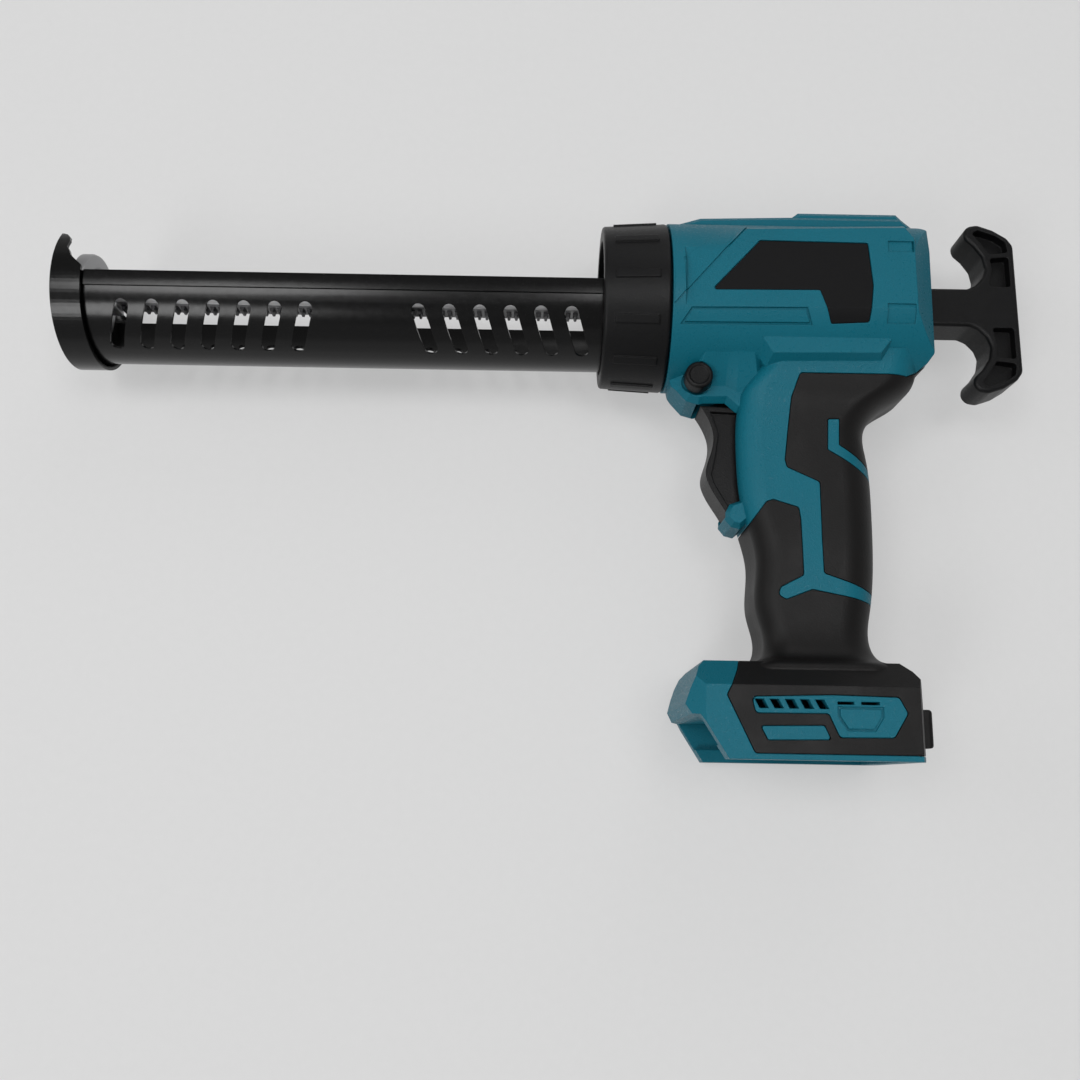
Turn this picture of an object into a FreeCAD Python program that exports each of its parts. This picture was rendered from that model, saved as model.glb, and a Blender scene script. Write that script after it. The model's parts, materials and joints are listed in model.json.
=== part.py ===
"""Cordless caulking tool, lying on its right side. X runs from nozzle to pull handle, Y to the top, Z up."""
import FreeCAD, Part
import math
import os

V = FreeCAD.Vector
os.makedirs("parts", exist_ok=True)

# Clearances shared by all pieces, in millimetres
FIT = 0.05            # running fit of a pin or shaft in its hole, per side
GAP = 0.4             # free running gap between moving pieces
SEAM = 0.3            # groove between the rubber skin and the casing
OVERRUN = 4.0         # how far a cut runs past the face that it opens

# Casing: drum, side plateau and top ridge. X = 0 is the front face, Y = Z = 0 the plunger's axis
HEAD_LENGTH = 108.0
DRUM_RADIUS = 35.3
HEAD_HALF_WIDTH = 33.0
WALL = 2.6
SKIN = 1.8            # thickness of the rubber skin
PLATEAU_RISE = 9.0
PLATEAU_SPREAD = 5.5
RIDGE_HALF_WIDTH = 15.0
HUMP_HALF_WIDTH = 11.5
RIDGE_BEVEL = 2.0
LEDGE_HALF_WIDTH = 27.0
LEDGE_RISE = 7.0
LEDGE_SPREAD = 3.5
CHIN_HALF_WIDTH = 12.5
CHIN_RISE = 3.5
CHIN_BEVEL = 2.0
CHIN_WEB_LOW = 7.0
CHIN_WEB_HIGH = 23.0
LIP_HALF_WIDTH = 12.0
LIP_RISE = 3.5
LIP_BEVEL = 1.6
LABEL_DEPTH = 0.9
LABEL_INSET = 0.25
LABEL_CORNER = 0.9
FRONT_RIM = 2.4              # drum edge in front of the front wall
GROOVE_DEPTH = 0.8
GROOVE_WIDTH = 0.9

PLATEAU_SHARES = [(-0.02, -0.33), (0.254, 0.586), (0.843, 0.632), (0.875, 0.50), (0.868, -0.33)]
PROFILE_SHARES = [(0, -1.02), (0.86, -1.02), (0.935, -0.88), (0.958, -0.77), (0.965, 0.50),
                  (0.952, 0.78), (0.93, 0.92), (0.90, 1.02), (0, 1.02)]
PLAN_SHARES = [(0, -1), (0.875, -1), (0.965, -0.68), (0.965, 0.68), (0.875, 1), (0, 1)]
RIDGE_SHARES = [(0.02, 0.80), (0.02, 0.93), (0.11, 1.015), (0.45, 1.048), (0.89, 1.048), (0.945, 0.90),
                (0.945, 0.70)]
HUMP_SHARES = [(0.43, 0.80), (0.445, 1.03), (0.50, 1.16), (0.885, 1.16), (0.95, 0.95), (0.955, 0.84),
               (0.955, 0.70)]
LEDGE_SHARES = [(0.318, -0.30), (0.318, -0.67), (0.352, -0.835), (0.748, -0.815), (0.787, -0.66),
                (0.787, -0.30)]
CHIN_SHARES = [(0.01, -0.66), (-0.016, -0.92), (-0.005, -1.06), (0.05, -1.25), (0.095, -1.29),
               (0.115, -1.275), (0.195, -1.27), (0.235, -1.38), (0.34, -1.45), (0.40, -0.66)]
CHIN_WEB_SHARES = [(0.03, -0.60), (0.035, -0.66), (0.045, -0.70), (0.07, -0.74), (0.10, -0.75),
                   (0.14, -0.75), (0.195, -0.75), (0.235, -0.75), (0.29, -0.74), (0.32, -0.60)]
CHIN_PLAN_SHARES = [(-0.05, -0.35), (0.055, -1), (0.12, -1.9), (0.45, -2), (0.45, 2), (0.12, 1.9),
                    (0.055, 1), (-0.05, 0.35)]
LABEL_SHARES = [(0.118, -0.165), (0.271, 0.35), (0.301, 0.453), (0.703, 0.44), (0.716, -0.08),
                (0.70, -0.50), (0.559, -0.52), (0.517, -0.15)]
GROOVE_SHARES = [(0.015, -0.53), (0.049, -0.385), (0.467, -0.37), (0.486, -0.52)]
STEP_SHARES = [[(0.777, 0.337), (0.777, 0.467), (0.872, 0.467), (0.872, 0.337)],
               [(0.764, -0.504), (0.764, -0.295), (0.868, -0.295), (0.868, -0.504)]]

# Grip: rounded sections down the handle, from the plunger's axis to the top of the base
GRIP_LENGTH = 151.0
GRIP_FRONT = 30.0
GRIP_DEPTH = 52.0
GRIP_HALF_WIDTH = 19.0
GRIP_FRONT_CORNER = 9.0
GRIP_REAR_CORNER = 14.0
LOFT_DEGREE = 3
# each row: share down the grip, front, rear, half width
SECTION_SHARES = [(0.17, 0.15, 1.42, 1.30), (0.225, 0.05, 1.33, 1.18), (0.29, -0.06, 1.155, 1.05),
                  (0.335, -0.08, 0.985, 1.00), (0.375, -0.09, 0.922, 0.985), (0.465, -0.09, 0.943, 0.98),
                  (0.60, -0.05, 0.957, 1.00), (0.71, 0.03, 0.952, 1.01), (0.82, 0.02, 0.93, 0.99),
                  (0.915, 0.064, 0.888, 0.98), (0.965, 0.072, 0.90, 1.05), (1.0, 0.0, 0.97, 1.30),
                  (1.04, -0.10, 1.06, 1.55)]
LIP_SHARES = [(-0.150, 0.578), (-0.185, 0.602), (-0.186, 0.620), (-0.140, 0.640), (-0.072, 0.646),
              (0.0, 0.625), (0.13, 0.585), (0.13, 0.545)]
UPPER_SKIN_SHARES = [(0.377, 0.238), (0.315, 0.30), (0.254, 0.472), (0.267, 0.491), (0.513, 0.53),
                     (0.512, 0.685), (0.517, 0.773), (0.619, 0.785), (0.869, 0.815), (1.20, 0.845),
                     (1.70, 0.40), (1.70, 0.13), (1.50, 0.172), (1.37, 0.202), (1.29, 0.222),
                     (1.21, 0.238)]
LOWER_SKIN_SHARES = [(-0.058, 0.662), (0.10, 0.587), (0.152, 0.581), (0.34, 0.601), (0.352, 0.634),
                     (0.36, 0.779), (0.185, 0.811), (0.169, 0.832), (0.227, 0.844), (0.423, 0.817),
                     (0.865, 0.846), (1.20, 0.875), (1.20, 1.02), (-0.16, 1.02), (-0.20, 0.70)]
STRIPE_SHARES = [(0.588, 0.357), (0.681, 0.356), (0.673, 0.428), (0.871, 0.4705), (1.25, 0.552),
                 (1.25, 0.586), (0.869, 0.503), (0.578, 0.442)]
SKIN_CORNER = 1.6
STRIPE_CORNER = 0.5
INSERT_CORNER = 0.8

# Base: battery foot under the grip
BASE_FRONT = 1.0
BASE_LENGTH = 87.2
BASE_HEIGHT = 37.4
BASE_HALF_WIDTH = 37.0
BASE_BOTTOM = -GRIP_LENGTH - BASE_HEIGHT
BASE_SIDE_SHARES = [(0, 0.53), (0.02, 0.68), (0.058, 0.90), (0.085, 0.97), (0.925, 0.97), (0.965, 0.88),
                    (0.99, 0.765), (0.997, 0.55), (1, 0), (0.167, 0), (0.055, 0.422), (0.025, 0.43)]
BASE_CROSS_SHARES = [(0, -1), (0.71, -1), (0.97, -0.70), (0.97, 0.70), (0.71, 1), (0, 1)]
BASE_PLAN_SHARES = [(0, -0.78), (0.075, -1), (0.965, -1), (1, -0.81), (1, 0.81), (0.965, 1), (0.075, 1),
                    (0, 0.78)]
BASE_SKIN_SHARES = [(0.275, 0.059), (0.164, 0.61), (0.222, 0.866), (0.255, 1.08), (1.08, 1.08),
                    (1.08, 0.059)]
PANEL_SHARES = [(0.262, 0.60), (0.602, 0.626), (0.877, 0.612), (0.912, 0.455), (0.85, 0.217),
                (0.623, 0.211), (0.58, 0.439), (0.278, 0.434)]
INSERT_SHARES = [(0.295, 0.321), (0.563, 0.332), (0.59, 0.19), (0.326, 0.179)]
VENT_COUNT = 5
VENT_SHARES = [(0.275, 0.575), (0.314, 0.575), (0.334, 0.485), (0.295, 0.485)]
VENT_PITCH_SHARE = 0.0625
THIN_VENT_SHARES = [[(0.618, 0.56), (0.688, 0.56), (0.688, 0.53), (0.618, 0.53)],
                    [(0.717, 0.56), (0.794, 0.56), (0.794, 0.53), (0.717, 0.53)]]
BADGE_SHARES = [(0.624, 0.5), (0.805, 0.5), (0.805, 0.42), (0.77, 0.29), (0.659, 0.29), (0.624, 0.42)]
CHANNEL_HALF_WIDTH = 31.0     # battery channel above the rails
RAIL_HALF_WIDTH = 27.5        # mouth between the rails
RAIL_HEIGHT = 5.0
CHANNEL_HEIGHT = 15.5
CHANNEL_LENGTH = 80.0
ROOF = 2.4                    # plate between the channel and the base's inner room
BUMPER_DEPTH = 5.8
BUMPER_HALF_WIDTH = 24.0
BUMPER_SHARES = (0.14, 0.52)
BUMPER_CORNER = 2.0
BUMPER_SEAT = 1.6

# Plunger: toothed bar, pusher disc and pull handle
ROD_HEIGHT = 10.0
ROD_WIDTH = 9.4
ROD_PLAY = 0.1           # between the bar and its guides
ROD_FRONT = -243.0
ROD_IN_HANDLE = 15.0
MODULE = 1.0
TOOTH_START = -234.0
TOOTH_END = 62.0
PRESSURE_ANGLE = 20.0
BACKLASH = 0.16
ADDENDUM_SHARE = 0.8
DEDENDUM_SHARE = 1.1
FLANK_STEPS = 3
DISC_RADIUS = 19.0
DISC_SHEET = 1.8
DISC_RIM = 5.0
DISC_RIM_SHEET = 1.4
SCREW_RADIUS = 2.0
DISC_SCREW_HEAD = 4.0
DISC_SCREW_RISE = 2.0
DISC_SCREW_LENGTH = 14.0

# Pull handle: a T with two finger hooks
HANDLE_LENGTH = 36.0
HANDLE_HALF_SPAN = 38.5
HANDLE_HALF_THICK = 8.5
HANDLE_REST_GAP = 1.2         # from the casing's rear face to the stem at rest
STEM_LENGTH = 4.0             # from the stem's front to the hooks' own scale
HANDLE_EDGE = 1.4
HANDLE_CORNER = 4.0
HANDLE_POCKET = 4.6
HANDLE_RIB = 1.2
HANDLE_PIN_RADIUS = 2.0
HANDLE_PIN_SHARE = 0.22
HANDLE_PIN_END = 6.6          # the pin's hole is blind on the left side
STEM_SHARE = 0.218
HOOK_SHARES = [(0.425, 0.218), (0.522, 0.26), (0.611, 0.351), (0.65, 0.455), (0.622, 0.597),
               (0.531, 0.722), (0.433, 0.81), (0.422, 0.896), (0.48, 0.966), (0.592, 0.984),
               (0.772, 0.925), (0.933, 0.831), (1, 0.74)]
HANDLE_POCKET_SHARES = [[(0.675, 0.239), (0.928, 0.239), (0.928, 0.597), (0.706, 0.579), (0.722, 0.442)],
                        [(0.70, 0.623), (0.928, 0.649), (0.906, 0.774), (0.80, 0.847), (0.592, 0.914),
                         (0.511, 0.878), (0.606, 0.766)]]

# Barrel: folded half pipe with slots, ring and front cap
BARREL_RADIUS = 26.8
SHEET = 1.2
BARREL_LENGTH = 226.0
BARREL_EDGE = 0.8             # height of the open edge over the axis
HEM_HEIGHT = 6.2
HEM_SHEET = 0.9
SLOT_WIDTH = 5.6
SLOT_LENGTH = 22.5
SLOT_ANGLE = 46.5             # slot middle, degrees below the horizontal
SLOT_LEAN = 16.0
FRONT_SLOTS = 7
REAR_SLOTS = 6
SLOT_PITCH = 12.4
FRONT_SLOTS_SHARE = 0.268     # middle of each group along the barrel, from the cap
REAR_SLOTS_SHARE = 0.792
RING_SHEET = 2.4
RING_BORE = 20.0
CAP_RADIUS = 29.6
CAP_SHEET = 1.6
CAP_FLANGE = 12.0
NOZZLE_HALF_WIDTH = 14.0
HORN_SHARES = [(1.2, 0.50), (1.02, 0.52), (0.94, 0.56), (0.70, 0.62), (0.60, 0.70), (0.44, 0.78),
               (0.48, 0.83), (0.40, 0.89), (0.2, 0.95), (0.2, 1.1), (1.2, 1.1)]

# Collar and the neck that it turns on
NECK_LENGTH = 21.5
NECK_RADIUS = 30.4
NECK_BORE = 24.0
COLLAR_LENGTH = 26.6
COLLAR_FRONT_RADIUS = 33.7
COLLAR_REAR_RADIUS = 35.2
COLLAR_BACK_GAP = 3.0
COLLAR_EDGE = 1.2
COLLAR_BARS = 12
BAR_ANGLE = 6.0
BAR_RISE = 0.7
BAR_LENGTH = 17.6

# Rod guides at both ends of the casing
GUIDE_LENGTH = 6.0
GUIDE_HALF = 8.5
GUIDE_FLANGE = 2.0
GUIDE_FLANGE_RISE = 2.0

# Gear train under the rod, on cross axles
PINION_TEETH = 14
FINAL_TEETH = 26
IDLER_TEETH = 24
OUTPUT_TEETH = 12
PINION_X_SHARE = 0.37
PINION_HALF_WIDTH = 5.0
GEAR_WIDTH = 6.0
GEAR_PLANE = 14.6             # inner face of the gears
GEAR_SIDE_GAP = 0.6
AXLE_RADIUS = 3.0
IDLER_AXLE_RADIUS = 2.5
OUTPUT_AXLE_RADIUS = 2.0
PLATE = 1.6
RIGHT_PLATE_Z = -13.0
PLATE_CORNER = 3.0
PILLAR_RADIUS = 2.6
MOTOR_RADIUS = 11.0
MOTOR_LENGTH = 20.0
MOTOR_EDGE = 1.5
MOTOR_OFFSET = 39.0           # motor axle behind the drive axle
MOTOR_DROP = 6.5              # and below it
GEARBOX_LENGTH = 10.6
END_BELL = 3.0
OUTPUT_SEAT = 4.0             # output axle inside the gearbox
END_BELL_RADIUS = 6.5
BUSH_WALL = 1.6
# shares of the motor's offset, from the drive axle
PLATE_SHARES = [(-0.38, 0.50), (-0.10, 0.56), (0.25, 0.46), (1.0, 0.40), (1.22, 0.22),
                (1.12, -0.20), (0.90, -0.30), (0.62, -0.385), (0.36, -0.385), (-0.12, -0.27),
                (-0.38, -0.10)]
RIGHT_PLATE_SHARES = [(-0.32, 0.22), (0.25, 0.22), (0.56, -0.20), (0.56, -0.44), (-0.32, -0.44)]
SHORT_PILLAR_SHARES = [(0.45, -0.33), (1.13, 0.20), (-0.28, 0.40)]
LONG_PILLAR_SHARES = [(-0.20, -0.33), (0.45, -0.33)]

# Trigger, switch and lock button
TRIGGER_TOP = -45.8
TRIGGER_LENGTH = 45.8
TRIGGER_FRONT = 13.2
TRIGGER_DEPTH = 19.0
TRIGGER_HALF_WIDTH = 8.4
TRIGGER_RIM = 2.2
TRIGGER_PIN_RADIUS = 1.6
TRIGGER_PIN_X = 26.0
TRIGGER_PIN_Y = -40.0
TRIGGER_BOSS = 4.4
TRIGGER_BOSS_HALF = 5.0
TRIGGER_PIN_HALF = 11.2
# share of the depth and of the length, down the front face
TRIGGER_FACE_SHARES = [(-0.10, 0), (0.065, 0.118), (0.168, 0.262), (0.10, 0.452), (0, 0.64),
                       (0.065, 0.73), (0.25, 0.868), (0.44, 1)]
TRIGGER_BACK_SHARES = [(0.74, 1), (0.93, 0.80), (1, 0.45), (1, 0.02)]
TRIGGER_ARM_SHARES = [(0.30, 0.10), (0.45, -0.10), (0.60, -0.19), (0.78, -0.19), (0.90, 0.10)]
TRIGGER_ROOM_SHARES = [(-0.20, 0), (0, -0.22), (1.30, -0.28), (1.30, 1.03), (-0.50, 1.03), (-0.50, 0.16),
                       (-0.20, 0.16)]
SLOT_SIDE_GAP = 0.5
SWITCH_LENGTH = 24.0
SWITCH_HEIGHT = 30.0
SWITCH_HALF_WIDTH = 8.0
SWITCH_GAP = 8.0              # from the trigger's back to the switch
PLUNGER_RADIUS = 3.0
PLUNGER_DROP = 22.0           # below the trigger's pin
PLUNGER_SEAT = 10.0           # length inside the switch
PLUNGER_ROOM = 5.0            # free bore behind the stem
PLUNGER_REST_GAP = 0.3
PLUNGER_HEAD_RADIUS = 4.5
PLUNGER_HEAD = 1.2
RIB = 2.0
SWITCH_RIB_SHARES = (-0.30, 0.25)
BUTTON_X = 9.4
BUTTON_Y = -36.6
BUTTON_FACE = 20.5             # outer face from the middle plane
BUTTON_RADIUS = 5.6
BUTTON_STEM = 2.6
BUTTON_HEAD = 7.0
BUTTON_TRAVEL = 3.0
BUTTON_EDGE = 0.8

# Control board, battery terminals and screws
BOARD_LENGTH = 58.0
BOARD_HALF_WIDTH = 14.0
BOARD_SHEET = 1.6
SHELF = 2.0
SHELF_LENGTH = 8.0
BOARD_X_SHARE = 0.30
BOARD_Y_SHARE = 0.62
SINK_HALF_WIDTH = 10.0
SINK_LENGTH = 22.0
SINK_HEIGHT = 7.0
SINK_FINS = 6
SINK_FIN = 1.0
CAN_RADIUS = 4.0
CAN_LENGTH = 8.0
TERMINAL_LENGTH = 34.0
TERMINAL_HEIGHT = 7.0
TERMINAL_HALF_WIDTH = 24.0
BLADE_SHEET = 1.0
BLADE_LENGTH = 20.0
BLADE_HEIGHT = 5.0
BLADE_PLACE_SHARES = (-0.66, -0.25, 0.25, 0.66)
BOSS_RADIUS = 4.2
SCREW_SEAT = 11.0             # screw heads sit this far from the middle plane
SCREW_HEAD_RADIUS = 2.9
SCREW_HEAD = 2.2
SCREW_SHANK = 1.4
SCREW_LENGTH = 20.0
SCREW_PILOT_GAP = 0.1
HEAD_SCREW_SHARES = [(0.13, 0.68), (0.905, 0.60), (0.905, -0.43), (0.13, -0.64)]
GRIP_SCREW_SHARES = [(0.82, 0.37), (0.28, 0.735), (0.66, 0.905)]
BASE_SCREW_SHARES = [(0.15, 0.74), (0.90, 0.66)]

# Places that follow from the sizes above
BARREL_REAR = -NECK_LENGTH - FIT - RING_SHEET
COLLAR_LIP = COLLAR_LENGTH + COLLAR_BACK_GAP + BARREL_REAR - FIT
BARREL_FRONT = BARREL_REAR - BARREL_LENGTH
CAP_FRONT = BARREL_FRONT - CAP_SHEET
HEAD_REAR = HEAD_LENGTH * max(a for a, b in PROFILE_SHARES)
STEM_FRONT = HEAD_REAR + HANDLE_REST_GAP
HANDLE_FRONT = STEM_FRONT + STEM_LENGTH
HANDLE_REAR = HANDLE_FRONT + HANDLE_LENGTH
HEAD_TOP = DRUM_RADIUS * HUMP_SHARES[2][1]
PINION_X = HEAD_LENGTH * PINION_X_SHARE
PINION_Y = MODULE * ADDENDUM_SHARE - ROD_HEIGHT / 2 - MODULE * PINION_TEETH / 2
MOTOR_X = PINION_X + MOTOR_OFFSET
MOTOR_Y = PINION_Y - MOTOR_DROP
GEAR_OUTER = GEAR_PLANE + GEAR_WIDTH
INNER_PLATE_Z = GEAR_PLANE - GEAR_SIDE_GAP - PLATE
OUTER_PLATE_Z = GEAR_OUTER + GEAR_SIDE_GAP
TRIGGER_BACK = TRIGGER_FRONT + TRIGGER_DEPTH
PLUNGER_X = TRIGGER_BACK + PLUNGER_REST_GAP
PLUNGER_Y = TRIGGER_PIN_Y - PLUNGER_DROP
SWITCH_X = TRIGGER_BACK + SWITCH_GAP
SWITCH_RIB_PLACES = [PLUNGER_Y + SWITCH_HEIGHT * share for share in SWITCH_RIB_SHARES]
BUTTON_SHOULDER = BUTTON_FACE - BUTTON_HEAD
BOARD_X = HEAD_LENGTH * BOARD_X_SHARE
BOARD_Y = DRUM_RADIUS * BOARD_Y_SHARE
CHANNEL_TOP = BASE_BOTTOM + CHANNEL_HEIGHT
CHANNEL_REAR = BASE_FRONT + CHANNEL_LENGTH
PLACE = V(-(CAP_FRONT + HANDLE_REAR) / 2, -(BASE_BOTTOM + HEAD_TOP) / 2, BASE_HALF_WIDTH)
FAR = BARREL_LENGTH           # longer than any cross size
QUARTER = math.degrees(math.pi / 2)
CORNER_SHARE = 0.45           # the most of a side that a round corner takes


# Drawing helpers
def points(shares, length, height, x=0, y=0):
    """Shares of a length and a height, measured from a corner."""
    return [(x + length * a, y + height * b) for a, b in shares]


def wire(outline, z=0):
    corners = [V(x, y, z) for x, y in outline]
    return Part.makePolygon(corners + corners[:1])


def rounded(outline, radius):
    """A closed outline whose corners are arcs, each limited by the sides that it joins."""
    edges = []
    starts, ends, middles = [], [], []
    count = len(outline)
    for i in range(count):
        here = V(*outline[i], 0)
        back = V(*outline[i - 1], 0) - here
        ahead = V(*outline[(i + 1) % count], 0) - here
        turn = back.getAngle(ahead) / 2
        longest = CORNER_SHARE * min(back.Length, ahead.Length)
        reach = min(radius / math.tan(turn), longest)
        back.normalize()
        ahead.normalize()
        arc_radius = reach * math.tan(turn)
        inward = back + ahead
        inward.normalize()
        starts.append(here + back * reach)
        ends.append(here + ahead * reach)
        middles.append(here + inward * (arc_radius / math.sin(turn) - arc_radius))
    for i in range(count):
        edges.append(Part.Arc(starts[i], middles[i], ends[i]).toShape())
        edges.append(Part.LineSegment(ends[i], starts[(i + 1) % count]).toShape())
    return Part.Wire(edges)


def prism(outline, low, high):
    face = Part.Face(wire(outline, low))
    return face.extrude(V(0, 0, high - low))


def prism_of(closed_wire, low, high):
    solid = Part.Face(closed_wire).extrude(V(0, 0, high - low))
    solid.translate(V(0, 0, low))
    return solid


def offset(outline, distance):
    """The same outline moved outwards by a distance, corner for corner."""
    area = sum(a[0] * b[1] - b[0] * a[1] for a, b in zip(outline, outline[1:] + outline[:1]))
    turn = math.copysign(1, area)
    moved = []
    for i, (x, y) in enumerate(outline):
        back = V(x - outline[i - 1][0], y - outline[i - 1][1], 0).normalize()
        after = outline[(i + 1) % len(outline)]
        ahead = V(after[0] - x, after[1] - y, 0).normalize()
        outward = (back + ahead).normalize()
        stretch = distance * turn / outward.dot(back)
        moved.append((x + outward.y * stretch, y - outward.x * stretch))
    return moved


def frustum(low, high, z0, z1):
    """A solid between two outlines with matching corners, all of its faces flat."""
    faces = [Part.Face(wire(low, z0)), Part.Face(wire(high, z1))]
    for i in range(len(low)):
        corners = [V(*low[i - 1], z0), V(*low[i], z0), V(*high[i], z1), V(*high[i - 1], z1)]
        faces.append(Part.Face(Part.makePolygon(corners + corners[:1])))
    solid = Part.Solid(Part.Shell(faces))
    if solid.Volume < 0:
        solid.reverse()
    return solid


def slab(outline, deep, rise, inset, shrink=0):
    """A plate across the middle plane whose long edges slope inwards over the last rise."""
    body = offset(outline, -shrink)
    top = offset(outline, -shrink - inset)
    shoulder = deep - shrink - rise
    slopes = [frustum(body, top, side * shoulder, side * (deep - shrink)) for side in (1, -1)]
    return prism(body, -shoulder, shoulder).multiFuse(slopes)


def box(x0, x1, y0, y1, z0, z1):
    return Part.makeBox(x1 - x0, y1 - y0, z1 - z0, V(x0, y0, z0))


def rod_x(radius, x0, x1, y=0, z=0):
    return Part.makeCylinder(radius, x1 - x0, V(x0, y, z), V(1, 0, 0))


def rod_z(radius, z0, z1, x=0, y=0):
    return Part.makeCylinder(radius, z1 - z0, V(x, y, z0), V(0, 0, 1))


def head_points(shares):
    return points(shares, HEAD_LENGTH, DRUM_RADIUS)


def grip_points(shares):
    return points(shares, GRIP_DEPTH, -GRIP_LENGTH, GRIP_FRONT)


def base_points(shares):
    return points(shares, BASE_LENGTH, BASE_HEIGHT, BASE_FRONT, BASE_BOTTOM)


def half(solid, side):
    """The part of a solid on one side of the middle plane."""
    return solid.common(box(-FAR, FAR, -FAR, FAR, min(0, side * FAR), max(0, side * FAR)))


# Casing forms, drawn once and shrunk for the skin's seat and for the inner room
def head_form(shrink=0):
    drum = rod_x(DRUM_RADIUS - shrink, 0, HEAD_LENGTH)
    side = prism(offset(head_points(PROFILE_SHARES), -shrink), -FAR, FAR)
    plan_outline = points(PLAN_SHARES, HEAD_LENGTH, HEAD_HALF_WIDTH)
    plan = prism(offset(plan_outline, -shrink), -FAR, FAR)
    plan.rotate(V(0, 0, 0), V(1, 0, 0), QUARTER)
    core = drum.common(side).common(plan)
    grown = offset(head_points(PLATEAU_SHARES), PLATEAU_SPREAD)
    plateau = slab(grown, HEAD_HALF_WIDTH, PLATEAU_RISE, PLATEAU_SPREAD, shrink)
    plateau = plateau.common(side).common(plan)
    return core.fuse(plateau)


def grip_section(row, shrink):
    level, front, rear, width = row
    x0 = GRIP_FRONT + GRIP_DEPTH * front + shrink
    x1 = GRIP_FRONT + GRIP_DEPTH * rear - shrink
    z = GRIP_HALF_WIDTH * width - shrink
    y = -GRIP_LENGTH * level
    corners = [(x0, z, GRIP_FRONT_CORNER), (x1, z, GRIP_REAR_CORNER), (x1, -z, GRIP_REAR_CORNER),
               (x0, -z, GRIP_FRONT_CORNER)]
    edges = []
    bend = math.sqrt(2) / 2
    for i, (cx, cz, radius) in enumerate(corners):
        nx, nz, next_radius = corners[(i + 1) % 4]
        sx = 1 if cx == x0 else -1
        sz = 1 if cz < 0 else -1
        r = radius - shrink
        centre = V(cx + sx * r, y, cz + sz * r)
        on_x = V(cx, y, centre.z)
        on_z = V(centre.x, y, cz)
        first, last = (on_x, on_z) if i % 2 == 0 else (on_z, on_x)
        middle = V(centre.x - sx * r * bend, y, centre.z - sz * r * bend)
        edges.append(Part.Arc(first, middle, last).toShape())
        following = V(nx - sx * next_radius + sx * shrink, y, cz) if i % 2 == 0 else None
        if following is None:
            nsz = 1 if nz < 0 else -1
            following = V(cx, y, nz + nsz * (next_radius - shrink))
        edges.append(Part.LineSegment(last, following).toShape())
    return Part.Wire(edges)


def grip_form(shrink=0):
    rows = [grip_section(row, shrink) for row in SECTION_SHARES]
    return Part.makeLoft(rows, True, False, False, LOFT_DEGREE)


def base_form(shrink=0):
    side = prism(offset(base_points(BASE_SIDE_SHARES), -shrink), -FAR, FAR)
    plan_outline = points(BASE_PLAN_SHARES, BASE_LENGTH, BASE_HALF_WIDTH, BASE_FRONT)
    plan = prism(offset(plan_outline, -shrink), -FAR, FAR)
    plan.rotate(V(0, 0, 0), V(1, 0, 0), QUARTER)
    cross_outline = points(BASE_CROSS_SHARES, BASE_HEIGHT, BASE_HALF_WIDTH, BASE_BOTTOM)
    cross = prism(offset(cross_outline, -shrink), -FAR, FAR)
    cross.rotate(V(0, 0, 0), V(0, 1, 0), QUARTER)
    cross.rotate(V(0, 0, 0), V(1, 0, 0), QUARTER)
    return side.common(plan).common(cross)


def case_form(shrink=0):
    """The whole casing's outside, or the same form shrunk for the skin's seat and the inner room."""
    top = offset(head_points(LEDGE_SHARES), LEDGE_SPREAD)
    ledge = slab(top, LEDGE_HALF_WIDTH, LEDGE_RISE, LEDGE_SPREAD, shrink)
    return head_form(shrink).multiFuse([ledge, grip_form(shrink), base_form(shrink)])


def trim_forms():
    """Forms on the outside only: top ridge, hump, chin under the neck and lip under the trigger."""
    ridge = slab(head_points(RIDGE_SHARES), RIDGE_HALF_WIDTH, RIDGE_BEVEL, RIDGE_BEVEL)
    hump = slab(head_points(HUMP_SHARES), HUMP_HALF_WIDTH, RIDGE_BEVEL, RIDGE_BEVEL)
    lip = slab(grip_points(LIP_SHARES), LIP_HALF_WIDTH, LIP_RISE, LIP_BEVEL)
    neck = rod_x(NECK_RADIUS, -NECK_LENGTH, WALL)
    rim = rod_x(DRUM_RADIUS, -FRONT_RIM, WALL)
    return [ridge, hump, chin_form(), lip, neck, rim]


def chin_form():
    """A narrow chin over the trigger, joined to the drum by sloping webs and narrowed to the front."""
    outline = head_points(CHIN_SHARES)
    chin = slab(outline, CHIN_HALF_WIDTH, CHIN_RISE, CHIN_BEVEL)
    rows = [wire(outline, CHIN_WEB_LOW), wire(head_points(CHIN_WEB_SHARES), CHIN_WEB_HIGH)]
    web = Part.makeLoft(rows, True, True)
    plan = prism(points(CHIN_PLAN_SHARES, HEAD_LENGTH, CHIN_HALF_WIDTH), -FAR, FAR)
    plan.rotate(V(0, 0, 0), V(1, 0, 0), QUARTER)
    return chin.multiFuse(both_sides(web)).common(plan)


def both_sides(solid):
    return [solid, solid.mirror(V(0, 0, 0), V(0, 0, 1))]


def through(outline, radius=0):
    """A cutter along Z through the whole width, with or without rounded corners."""
    return prism_of(rounded(outline, radius), -FAR, FAR) if radius else prism(outline, -FAR, FAR)


def skin_regions(grow):
    """Side views of the two rubber patches, grown by the seam where the casing is cut for them."""
    stripe = through(offset(grip_points(STRIPE_SHARES), -grow), STRIPE_CORNER)
    panel = through(offset(base_points(PANEL_SHARES), -grow), SKIN_CORNER)
    insert = through(offset(base_points(INSERT_SHARES), -grow), INSERT_CORNER)
    upper = through(offset(grip_points(UPPER_SKIN_SHARES), grow), SKIN_CORNER).cut(stripe)
    lower = through(offset(grip_points(LOWER_SKIN_SHARES), grow), SKIN_CORNER)
    foot = through(offset(base_points(BASE_SKIN_SHARES), grow), SKIN_CORNER)
    return upper, lower.fuse(foot).cut(panel).cut(insert)


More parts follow.
